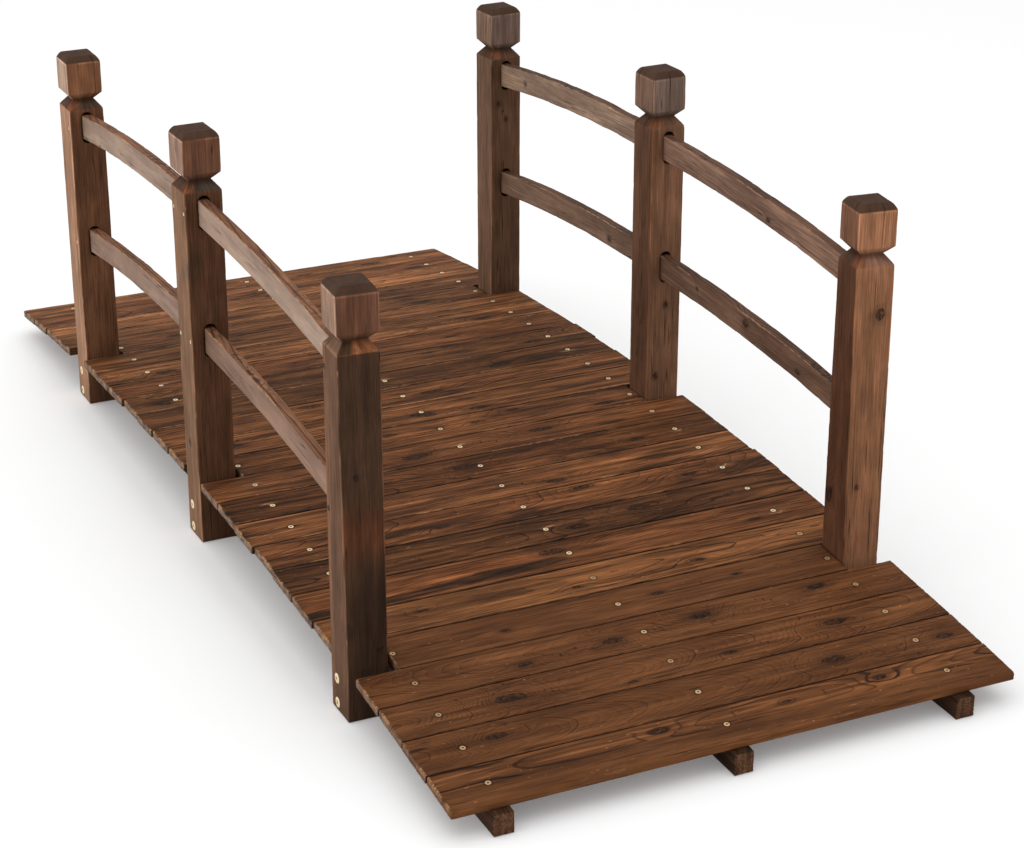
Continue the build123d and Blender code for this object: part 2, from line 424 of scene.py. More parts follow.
        # short dark and pale dashes of torn fibres
        dash = N.noise(N.vmath("MULTIPLY", N.vmath("ADD", g, (5.0, 2.0, 8.0)), (15.0, 270.0, 270.0)), 1.0, 3.0, 0.62)
        streaky = N.math("MULTIPLY", N.range(dash, 0.56, 0.62, 1.0, 0.56), N.range(dash, 0.43, 0.36, 1.0, 1.25))
        torn = N.noise(N.vmath("MULTIPLY", N.vmath("ADD", g, (2.0, 9.0, 3.0)), (8.0, 125.0, 125.0)), 1.0, 4.0, 0.62)
        streaky = N.math("MULTIPLY", streaky, N.math("MULTIPLY", N.range(torn, 0.565, 0.595, 1.0, 0.62), N.range(torn, 0.425, 0.395, 1.0, 1.18)))
        # planks planed smoother show less of this
        amount = N.range(charred, 0.06, 0.20, 0.55, 1.0)
        shade = N.math("MULTIPLY", shade, N.math("ADD", 1.0, N.math("MULTIPLY", N.math("SUBTRACT", streaky, 1.0), amount)))
    if not deck:
        calm = N.range(lines, 0.05, 0.60, 0.30, 1.0)
        shade = N.math("ADD", 1.0, N.math("MULTIPLY", N.math("SUBTRACT", shade, 1.0), calm))
        patch = N.noise(N.vmath("MULTIPLY", N.vmath("ADD", g, (6.0, 3.0, 5.0)), (34.0, 70.0, 70.0)), 1.0, 3.0, 0.65)
        shade = N.math("MULTIPLY", shade, N.range(patch, 0.30, 0.70, 0.90, 1.10))
    col = times(col, shade)
    col = N.mix(1.0, col, tint, "MULTIPLY")
    # scorched streaks and drying cracks
    sc = N.math("MULTIPLY", N.range(band, 0.54 if deck else 0.51, 0.62 if deck else 0.63), charred)
    sc = N.math("MULTIPLY", sc, N.range(med, 0.34, 0.58, 0.35, 1.0))
    crack = N.noise(N.vmath("MULTIPLY", N.vmath("ADD", g, (1.0, 7.0, 4.0)), (5.0, 240.0, 240.0)), 1.0, 1.0, 0.55)
    crack = N.range(N.math("ABSOLUTE", N.math("SUBTRACT", crack, 0.5)), 0.024, 0.006)
    crack = N.math("MULTIPLY", crack, N.range(streak, 0.48, 0.40, 0.0, 0.8))
    # scorched patches and painted shade (neck creases, slot recesses, plank gaps, rings round screws) darken alike
    bn = N.math("MULTIPLY", char_and_shade, N.range(med, 0.30, 0.60, 0.72, 1.05))
    dark = N.math("MAXIMUM", N.math("MAXIMUM", sc, crack), bn)
    # the knots themselves
    kd = N.math("SQRT", N.math("ADD", sq(N.math("ADD", kx, N.math("MULTIPLY", kwarp, 0.25)), 1.35), sq(N.math("ADD", ky, N.math("MULTIPLY", kwarp, 0.25)), 1.0)))
    has = N.range(kamp, 0.0, 0.15)
    kd = N.math("ADD", kd, N.math("MULTIPLY", N.math("SUBTRACT", wob, 0.5), 0.5))
    kring = N.range(N.noise(N.vmath("MULTIPLY", g, (260.0, 330.0, 330.0)), 1.0, 1.0, 0.5), 0.34, 0.62, 0.55, 0.90)
    kcore = N.math("MULTIPLY", N.math("MULTIPLY", N.range(kd, 1.0, 0.72), has), kring)
    khalo = N.math("MULTIPLY", N.math("MULTIPLY", N.range(kd, 1.9, 1.0), has), 0.30)
    dark = N.math("MAXIMUM", dark, N.math("MAXIMUM", kcore, khalo), clamp=True)
    if deck:
        # dark lines along the joints
        e = N.math("ABSOLUTE", N.attr("across"))
        ew = N.math("ADD", e, N.math("MULTIPLY", N.math("SUBTRACT", cloud, 0.5), 6.0))
        joint = N.math("MULTIPLY", N.range(e, 26.6, 28.8), N.range(wob, 0.3, 0.6, 0.45, 0.75))
        second = N.math("MULTIPLY", N.range(N.math("ABSOLUTE", N.math("SUBTRACT", ew, 22.6)), 1.5, 0.5), N.range(streak, 0.40, 0.56, 0.0, 0.75))
        dark = N.math("MAXIMUM", dark, N.math("MULTIPLY", N.math("MAXIMUM", joint, second), N.attr("sawn")), clamp=True)
    col = N.mix(dark, col, char)
    if kerfs:
        # cross marks of the saw on curved cuts
        kerf = N.noise(N.vmath("MULTIPLY", g, (210.0, 20.0, 130.0)), 1.0, 1.0, 0.6)
        col = N.mix(N.math("MULTIPLY", N.range(kerf, 0.48, 0.58), N.attr("sawn"), clamp=True), col, char)
    # end grain
    if deck:
        grey = N.noise(N.vmath("MULTIPLY", g, (0.0, 70.0, 260.0)), 1.0, 3.0, 0.65)
        col = N.mix(N.math("MULTIPLY", endg, 0.9), col, N.ramp(grey, [(0.30, lin(54, 42, 34)), (0.50, lin(108, 88, 74)), (0.68, lin(150, 128, 111))]))
    else:
        col = N.mix(N.math("MULTIPLY", endg, 0.85), col, N.mix(N.range(wob, 0.3, 0.7), char, late))
    # worn edges and scratches show paler wood, with a painted highlight along some plank edges
    spots = N.noise(N.vmath("MULTIPLY", g, (120.0, 560.0, 560.0)), 1.0, 1.0, 0.6)
    pw = N.math("MULTIPLY", wear_and_highlight, N.range(spots, 0.34, 0.60))
    pw = N.math("ADD", pw, N.math("MULTIPLY", N.range(spots, 0.745, 0.79, 0.0, 0.5 if deck else 0.06), N.math("SUBTRACT", 1.0, dark)), clamp=True)
    col = N.mix(pw, col, pale)
    N.put(N.bsdf.inputs["Base Color"], col)
    N.put(N.bsdf.inputs["Roughness"], N.range(med, 0.2, 0.8, rough - 0.10, rough + 0.14, False))
    N.bsdf.inputs["Specular IOR Level"].default_value = spec
    height = N.math("ADD", N.math("MULTIPLY", med, 0.65), N.math("MULTIPLY", fine, 0.35))
    N.t.links.new(N.bump(height, 0.45 * bump, 0.0009), N.bsdf.inputs["Normal"])
    return N.mat


DECK = wood_material("stained_deck_wood", lin(111, 69, 39), lin(99, 60, 33), lin(46, 26, 16), lin(146, 92, 54), lin(196, 148, 104), lin(22, 16, 12), 1.0, 0.54, 0.6,
                     grain=(19.0, 330.0), streaks=(9.5, 115.0), deck=True)
POSTW = wood_material("stained_post_wood", lin(112, 77, 56), lin(101, 69, 49), lin(66, 44, 32), lin(136, 92, 63), lin(184, 148, 122), lin(24, 18, 14), 0.5, 0.8, 0.6,
                      grain=(12.0, 360.0), streaks=(6.0, 120.0))
RAILW = wood_material("stained_rail_wood", lin(146, 117, 99), lin(130, 102, 86), lin(84, 62, 49), lin(160, 118, 86), lin(196, 154, 120), lin(34, 25, 20), 0.75, 0.8, 0.7, 0.66, 0.12, 1.0, True,
                      grain=(14.0, 340.0), streaks=(7.0, 120.0))
BEAMW = wood_material("stained_beam_wood", lin(88, 58, 40), lin(74, 48, 33), lin(40, 26, 19), lin(120, 78, 50), lin(150, 104, 72), lin(18, 13, 10), 0.9, 0.9, 1.0)


def brass_material():
    N = Nodes("yellow_zinc_screw")
    tc = N.t.nodes.new("ShaderNodeTexCoord").outputs["Object"]
    n1 = N.noise(tc, 900.0, 3.0, 0.6)
    n2 = N.noise(tc, 160.0, 2.0, 0.5)
    col = N.ramp(n1, [(0.25, lin(196, 168, 124)), (0.50, lin(238, 216, 172)), (0.8, lin(250, 240, 214))])
    col = N.mix(N.range(n2, 0.55, 0.75, 0.0, 0.4), col, lin(176, 138, 86))
    # pit carries painted shade in the cross recess and the painted dark rim round the head, as well as how dark each
    # head is
    pit = N.attr("pit")
    col = N.mix(N.range(pit, 0.03, 0.35, 0.0, 0.8), col, lin(202, 158, 100))
    col = N.mix(pit, col, lin(20, 14, 10))
    N.put(N.bsdf.inputs["Base Color"], col)
    N.put(N.bsdf.inputs["Roughness"], N.math("MAXIMUM", N.range(n1, 0.2, 0.8, 0.26, 0.44, False), N.math("MULTIPLY", pit, 0.95)))
    N.put(N.bsdf.inputs["Metallic"], N.math("MULTIPLY", N.math("SUBTRACT", 1.0, pit), 0.5))
    N.t.links.new(N.bump(n1, 0.12, 0.0002), N.bsdf.inputs["Normal"])
    return N.mat


BRASS = brass_material()


# ---------------------------------------------------------------- deck planks
def deck_frame(s):
    """Point and slope of the walking surface s pitches from mid span."""
    th = s * PITCH / R_DECK
    return R_DECK * math.sin(th), CROWN - R_DECK * (1 - math.cos(th)), th


def plank_shift(i):
    t = (i - 1) / (PLANKS - 1)
    return 7.0 * (1 - t) - 7.0 * t + 1.6 * math.sin(2.3 * i) * math.sin(math.pi * t)


# knots by plank: (along, across, radius, strength), in mm from the plank's middle
KNOTS = {
    1: [(-75, -14, 4, 1.3), (70, -12, 3, 1.2), (182, -14, 4, 1.3)],
    2: [(156, -1, 7, 1.2), (-232, -5, 6, 1.2), (292, 4, 5, 0.9)],
    3: [(197, -2, 7, 1.3), (-191, 0, 8, 1.3), (60, 9, 3.5, 0.9), (-60, 20, 3, 0.8)],
    4: [(-45, 4, 6, 1.4), (66, -6, 7, 1.3), (-150, 10, 4, 1.0), (215, -12, 6, 1.2)],
    5: [(48, -4, 4, 1.2), (150, -8, 3.5, 1.1), (-138, 3, 3.5, 1.0)],
    6: [(-205, -6, 3, 0.9), (120, 8, 3.5, 1.0), (-30, 12, 3, 0.8)],
    7: [(-20, -10, 7, 1.5), (230, 10, 4, 1.0)],
    8: [(30, 8, 5, 1.2), (120, -6, 6, 1.3)],
    9: [(-110, 10, 4, 1.0), (215, 0, 5, 1.1), (80, -18, 5, 1.1)],
    10: [(65, 14, 6, 1.3), (-160, -8, 5, 1.1)],
    11: [(-20, -4, 7, 1.4), (205, 8, 5, 1.1)],
    12: [(110, -6, 7, 1.4), (-60, 6, 8, 1.2)],
}
# how scorched, how orange and how strongly lined each plank is
MOOD = {
    1: (0.10, 0.35, 0.95), 2: (0.07, 0.10, 0.70), 3: (0.10, 0.16, 0.78), 4: (0.09, 0.14, 0.78), 5: (0.08, 0.04, 0.50),
    6: (0.10, 0.30, 0.90), 7: (0.15, 0.35, 0.80), 8: (0.35, 0.06, 1.10), 9: (0.20, 0.30, 1.10), 10: (0.12, 0.40, 1.00),
    11: (0.35, 0.06, 1.10), 12: (0.25, 0.25, 1.10), 13: (0.20, 0.25, 1.00), 16: (0.45, 0.05, 1.10), 19: (0.20, 0.55, 1.00), 23: (0.20, 0.60, 1.00),
}
# shade of each plank
SHADE = {1: 0.90, 2: 0.90, 3: 0.97, 4: 0.96, 5: 0.98, 6: 1.28, 7: 1.00, 8: 0.74, 9: 1.12, 10: 1.42, 11: 0.78, 12: 1.15, 13: 1.08,
         14: 1.32, 15: 1.26, 16: 0.86, 17: 0.92, 18: 1.20, 19: 1.38, 20: 1.16, 21: 1.12, 22: 1.20, 23: 1.90, 24: 1.25, 25: 1.65}
for i in range(1, PLANKS + 1):
    r = np.random.RandomState(1000 + i)
    x0, z0, th = deck_frame(13 - i)
    length = (SHORT_L if i in SHORT else PLANK_L) - r.uniform(0, 1.6)
    shift = SHORT_SHIFT if i in SHORT else plank_shift(i)
    if i in KNOTS:
        knots = KNOTS[i]
    else:
        knots = [(r.uniform(-0.46, 0.46) * length, r.uniform(-18, 18), r.uniform(3, 7.0), r.uniform(0.9, 1.4)) for _ in range(r.randint(2, 5))]
    wood = Wood(2000 + 13 * i, PLANK_W, length, knots=knots, spacing=r.uniform(1.2, 1.6) if i < 6 else r.uniform(2.4, 3.6),
                tilt=(r.uniform(-0.03, 0.03), r.choice((-1, 1)) * r.uniform(0.03, 0.10)), wild=1.3)
    wood.arch, wood.stretch, wood.fray = (1.6, 1.9, 0.45) if i < 6 else (2.2, 2.2, 0.6)
    if i == 1:
        # the front plank is cut close to the heart: long dark almonds behind, plain wood in front
        wood.pith, wood.spacing, wood.wild, wood.tilt = (-15, -17), 4.2, 1.6, (0.0, 0.012)
    n = Noise(3000 + i)
    # the far planks are small in any view from the front, so their grids are coarser
    nt, ns, rows = (42, 3, 84) if i < 9 else (36, 3, 72)
    w, h = PLANK_W / 2 - 0.1, PLANK_T / 2
    a, b, na, nb = rounded_box(w, h, 1.0, nt, ns, 0.8, 3.6 if i == 1 else 1.0)
    # sections: eased ends, finer round the screws
    half = length / 2
    ls = list(np.linspace(-half + 4, half - 4, rows)) + [-half, -half + 0.15, -half + 0.5, -half + 1.1, -half + 2.2]
    ls += [half, half - 0.15, half - 0.5, half - 1.1, half - 2.2]
    for yb in (-BEAM_Y, 0.0, BEAM_Y):
        ls += [yb - shift + d for d in (-7, -5, -3.6, -2.0, 0, 2.0, 3.6, 5, 7)]
    ls = np.array(sorted(set(np.round(ls, 3))))
    ls = ls[(ls >= -half - 1e-6) & (ls <= half + 1e-6)]
    shape = (len(ls), len(a))
    L, A, B = np.broadcast_to(ls[:, None], shape), np.broadcast_to(a[None, :], shape), np.broadcast_to(b[None, :], shape)
    ring = wood.ring(L, A, B)
    kmask = wood.knot_relief(L, A)
    top = np.clip(nb, 0, 1)[None, :]

    def rings_at(l, a, b):
        k = wood.knot(l, a)
        return wood.ring(l, a, b) + k[..., 2] * np.exp(-(k[..., 0] / 3.5) ** 2 - (k[..., 1] / 2.3) ** 2)

    # rings per mm on the surface, so that the lines keep an even width
    slope_l = (rings_at(L + 1.0, A, B) - rings_at(L - 1.0, A, B)) / 2.0
    slope_a = rings_at(L, A + 0.5, B) - rings_at(L, A - 0.5, B)
    slope_b = rings_at(L, A, B + 0.5) - rings_at(L, A, B - 0.5)
    grad = np.clip(np.hypot(slope_l, np.where(np.abs(nb)[None, :] > 0.5, slope_a, slope_b)), 0.04, 1.5)
    # relief: raised late wood, hollowed early wood, saw ripples
    f = ring - np.floor(ring)
    ridge = smooth(0.5, 0.9, f) * (1 - smooth(0.94, 1.0, f))
    relief = 0.16 * ridge - 0.12 + 0.12 * n.fbm(L / 60.0, A / 2.6, 3) + 0.10 * n.at(L / 9.0, A / 12.0)
    near_screw = np.ones(shape)
    for yb in (-BEAM_Y, 0.0, BEAM_Y):
        near_screw = np.minimum(near_screw, smooth(3.4, 6.4, np.hypot(L - (yb - shift), A)))
    relief = relief * (0.35 + 0.65 * top) * near_screw - 0.5 * (1 - near_screw) * top
    relief = relief - 0.25 * kmask * top
    # chips along the upper edges and the ends
    edge = np.clip((np.abs(A) - (w - 2.4)) / 2.4, 0, 1)
    chip = smooth(0.42, 0.66, n.fbm(L / 13.0, np.sign(A) * 3 + 7.7, 3)) * edge * top
    end_d = half - np.abs(L)
    end_round = np.where(end_d < 2.2, 2.2 - np.sqrt(np.maximum(2.2 ** 2 - (2.2 - end_d) ** 2, 0)), 0.0)
    end_chip = smooth(0.30, 0.60, n.fbm(A / 7.0, np.sign(L) * 5 + 2.2, 3)) * (1 - smooth(0, 6, end_d)) * top
    d = relief - end_round * (0.15 + 0.45 * np.abs(nb)[None, :]) - 0.8 * chip - 0.6 * end_chip - 0.3 * np.abs(n.fbm(L / 90.0, np.sign(A) * 9 + 1.1, 2)) * edge
    d = np.minimum(d, 0.18)
    la = A + na[None, :] * d
    lb = B + nb[None, :] * d
    ll = L - np.where(end_d < 3, np.sign(L) * np.abs(n.fbm(A / 6.0, B / 4.0 + np.sign(L) * 3.1, 3)) * 0.7, 0.0)
    # a little cup and twist
    cup = r.uniform(-0.3, 0.1)
    lb = lb + cup * (1 - (A / w) ** 2) * (1 - 0.4 * (L / half)) - max(cup, 0)
    cx, cz = x0 - (PLANK_T / 2) * math.sin(th), z0 - (PLANK_T / 2) * math.cos(th)
    P = np.stack([cx + la * math.cos(th) + lb * math.sin(th), shift + ll, cz - la * math.sin(th) + lb * math.cos(th)], -1)
    mood = np.array(MOOD.get(i) or (r.uniform(0.20, 0.50), r.uniform(0.15, 0.45), r.uniform(0.8, 1.2)))
    mood = np.broadcast_to(mood, shape + (3,)).copy()
    endg = (1 - smooth(0.2, 1.2, end_d)) * (1 - 0.5 * top * (end_d > 0.4)) * {1: 0.2, 2: 0.35, 3: 0.7, 4: 0.7, 5: 0.7}.get(i, 1.0)
    # painted shade: a dark ring round each screw, added to the scorched patches
    char_and_shade = 0.30 * smooth(0.15, 0.55, n.fbm(L / 200.0 + 3, A / 9.0, 3)) + 0.50 * (1 - near_screw)
    char_and_shade = char_and_shade + 0.25 * (1 - smooth(0, 7 + 5 * n.fbm(A / 6.0, np.sign(L) * 2 + 8.8, 2), end_d)) * (end_d > 0.3)
    # painted shade on the plank's long sides, in the gaps between planks; plank 1's open front face is left out
    char_and_shade = char_and_shade + 0.5 * smooth(0.93, 1.0, np.abs(A) / w) * (1 - top * 0.8) * (0 if i == 1 else 1)
    wear_and_highlight = np.clip(0.5 * chip + 0.15 * end_chip + 0.10 * edge * top * smooth(0.0, 0.5, n.fbm(L / 30.0, A / 3.0 + 9, 2)), 0, 1)
    # painted highlight: a pale line along the front (+X) edge of the planks past the eighth, where the eased edge
    # catches the light
    if i > 8:
        wear_and_highlight = wear_and_highlight + 0.45 * smooth(w - 2.6, w - 0.8, A) * top * smooth(-0.1, 0.4, n.fbm(L / 70.0 + 1, 12.5, 2))
    wear_and_highlight = wear_and_highlight * (1 - 0.8 * (endg > 0.5) * (top < 0.5))
    wear_and_highlight = np.maximum(wear_and_highlight, 0.55 * (end_d < 1.2) * top * smooth(-0.1, 0.4, n.fbm(A / 9.0 + 3, np.sign(L) * 4 + 6.1, 2)))
    if i > 5:
        # splinters torn up beside some of the screws
        for yb in (-BEAM_Y, 0.0, BEAM_Y):
            pull, ol, oa = r.uniform(0, 1), r.uniform(-7, 7), r.choice((-1, 1)) * r.uniform(3.5, 6.0)
            if pull < 0.35:
                wear_and_highlight = np.maximum(wear_and_highlight, 0.75 * np.exp(-((L - (yb - shift) - ol) / 9.0) ** 2 - ((A - oa - 0.12 * L % 2) / 1.6) ** 2) * top)
    if i > 8:
        char_and_shade = char_and_shade + 0.50 * smooth(0.22, 0.55, n.fbm(L / 70.0 + 6, A / 11.0 + 2, 2))
    if i == 7:
        # one scorched seam with a bright band behind it, left of the middle
        stops = [-323, -246, -146, -110, -57, -28, -14, -4]
        mid_a = np.interp(L, stops, [20, 20, 15, 11, 12, 9, 8, 8]) + 1.2 * n.fbm(L / 30.0, 4.4, 2)
        half_a = np.interp(L, stops, [7, 7, 8, 9, 8, 7, 5, -2]) * (1 + 0.10 * n.fbm(L / 12.0, 8.4, 2))
        seam = smooth(half_a + 0.9, half_a - 0.9, np.abs(A - mid_a))
        seam = seam * np.clip(0.75 + 0.6 * n.fbm(L / 40.0, A / 2.5 + 5, 2), 0, 1)
        char_and_shade = np.maximum(char_and_shade, 0.95 * seam)
    joint = np.full(shape, {1: 0.5, 2: 0.45, 3: 0.45, 4: 0.45, 5: 0.4}.get(i) or r.uniform(0.7, 1.0))
    if i == 1:
        plain = smooth(-3, 5, A + 3 * n.fbm(L / 80.0, 6.6, 2))
        mood[..., 2] = 3.0 * (1 - plain) + 0.15 * plain
        mood[..., 1] = 0.75 * (1 - plain)
        joint = joint * (1 - plain)
    k = SHADE[i]
    # the far planks are painted cooler and greyer: painted haze of sheen on the far slope
    far = float(smooth(15, 21, i))
    warm = 0.0 if i < 6 else r.uniform(-0.04, 0.04)
    tint = np.broadcast_to(np.array([k, k * (1 + warm + 0.03 * far), k * (1 + warm + 0.12 * far)]), shape + (3,))
    if i == 7:
        over = mid_a - half_a - A
        band = smooth(1.0, 3.0, over) * smooth(20, 13, over) * smooth(-10, -45, L)
        tint = tint * (1 + band[..., None] * np.array([0.62, 0.52, 0.40]))
    # stain lies unevenly along each plank
    tint = tint * (1 + (0.10 if i < 6 else 0.20) * n.fbm(L / 75.0 + 9, A / 40.0 + 4, 3))[..., None]
    if i > 5:
        # long streaks of thicker and thinner stain
        tint = tint * (1 + (0.58 if i < 14 else 0.45) * n.fbm(L / 130.0 + 2, A / 6.5 + 8, 2))[..., None]
    off = wood.off
    gco = np.stack([(L + off[0] * 90) * MM, (A + off[1] * 30) * MM, (B + off[2] * 30) * MM], -1)
    at = {"ring": ring, "gco": gco, "kco": wood.knot(L, A), "wear_and_highlight": wear_and_highlight, "char_and_shade": np.clip(char_and_shade, 0, 1), "tint": tint,
          "endg": endg, "mood": mood, "sawn": joint, "across": A, "grad": grad}
    me = grid_mesh("deck_plank_%02d_wood" % i, P, nt, ns, at)
    add_object("deck_plank_%02d_wood" % i, me, DECK, "deck_plank_%02d" % i)

# ---------------------------------------------------------------- stringers
for side, y in (("left", -BEAM_Y), ("centre", 0.0), ("right", BEAM_Y)):
    seed = {"left": 41, "centre": 42, "right": 43}[side]
    wood = Wood(5000 + seed, BEAM_W, 1512, pith=(6, -40), spacing=3.4, knots=[(-300, 0, 6, 1.0), (420, 4, 5, 1.0)], wild=0.7)
    n = Noise(5100 + seed)
    nt, ns = 20, 14
    # the loop is made 60 high and fitted to the beam's height below, with its corners kept
    a, b, na, nb = rounded_box(BEAM_W / 2 - 0.1, 30.0, 1.0, nt, ns)
    half = BEAM_HALF - 0.2
    ls = np.concatenate([np.linspace(-half + 3, half - 3, 130), [-half, -half + 0.3, -half + 1.0, half, half - 0.3, half - 1.0]])
    ls = np.array(sorted(set(np.round(ls, 3))))
    shape = (len(ls), len(a))
    X, A, B = np.broadcast_to(ls[:, None], shape), np.broadcast_to(a[None, :], shape), np.broadcast_to(b[None, :], shape)
    seat = R_DECK - PLANK_T
    topz = CROWN - R_DECK + np.sqrt(seat ** 2 - X ** 2) - 0.15
    fit = np.minimum(1.0, topz / 60.0)
    Zb = np.where(B > 0, topz - (30.0 - B) * fit, (30.0 + B) * fit)
    end_d = half - np.abs(X)
    ease = np.where(end_d < 1.0, 1.0 - np.sqrt(np.maximum(1 - (1 - end_d) ** 2, 0)), 0)
    d = 0.12 * n.fbm(X / 40.0, Zb / 2.2 + A, 3) + 0.12 * n.at(X / 6.0, Zb / 8.0) - 0.12 - ease * 0.8
    la = A + na[None, :] * d
    zz = np.maximum(Zb + nb[None, :] * d, 0.0)
    ring = wood.ring(X, A, Zb - 30)
    endg = 1 - smooth(0.2, 1.2, end_d)
    rough_end = np.where(end_d < 2, -np.sign(X) * np.abs(n.fbm(A / 4.0, Zb / 4.0, 3)) * 1.0, 0)
    P = np.stack([X + rough_end, y + la, zz], -1)
    gco = np.stack([(X + wood.off[0] * 90) * MM, (A + 30) * MM, Zb * MM], -1)
    char_and_shade = 0.30 * smooth(0.1, 0.6, n.fbm(X / 180.0, Zb / 14.0, 3))
    # the stringer's sides are painted darker than its sawn ends: painted shade under the deck
    at = {"ring": ring, "gco": gco, "kco": wood.knot(X, A), "wear_and_highlight": 0.35 * endg * smooth(0.0, 0.4, n.fbm(A / 4.0, Zb / 4.0, 2)), "char_and_shade": char_and_shade,
          "tint": (0.55 + 0.75 * endg)[..., None] * np.ones(3), "endg": endg * 0.40, "mood": np.broadcast_to(np.array((0.35, 0.3, 0.9)), shape + (3,)), "sawn": np.zeros(shape)}
    me = grid_mesh("stringer_%s_wood" % side, P, nt, ns, at)
    add_object("stringer_%s_wood" % side, me, BEAMW, "stringer_" + side)


# ---------------------------------------------------------------- rails
def rail_circle(crown):
    """Centre and radius of the centre line of a front rail."""
    def arch(x):
        return crown - R_RAIL + math.sqrt(R_RAIL ** 2 - x ** 2)

    x1, x3 = POST / 2 - SLOT_D, POST_X - POST / 2 + SLOT_D
    x2 = (x1 + x3) / 2
    z1, z2, z3 = arch(x1), arch(x2) + RAIL_BOW, arch(x3)
    d = 2 * (x1 * (z2 - z3) + x2 * (z3 - z1) + x3 * (z1 - z2))
    q1, q2, q3 = x1 ** 2 + z1 ** 2, x2 ** 2 + z2 ** 2, x3 ** 2 + z3 ** 2
    xc = (q1 * (z2 - z3) + q2 * (z3 - z1) + q3 * (z1 - z2)) / d
    zc = (q1 * (x3 - x2) + q2 * (x1 - x3) + q3 * (x2 - x1)) / d
    return xc, zc, math.hypot(x1 - xc, z1 - zc)


def rail_z(crown, x):
    xc, zc, radius = rail_circle(crown)
    return zc + np.sqrt(radius ** 2 - (np.abs(x) - xc) ** 2)


# tints of a rail's faces, partly stain and partly painted light and shade, the underside painted darker: -Y face, +Y
# face, top, underside
RAIL_TINT = {
    "left": ((0.98, 0.98, 0.98), (0.55, 0.46, 0.38), (0.84, 0.61, 0.44), (0.5, 0.45, 0.4)),
    "right": ((0.62, 0.54, 0.47), (0.9, 0.9, 0.9), (0.45, 0.36, 0.29), (0.5, 0.45, 0.4)),
}
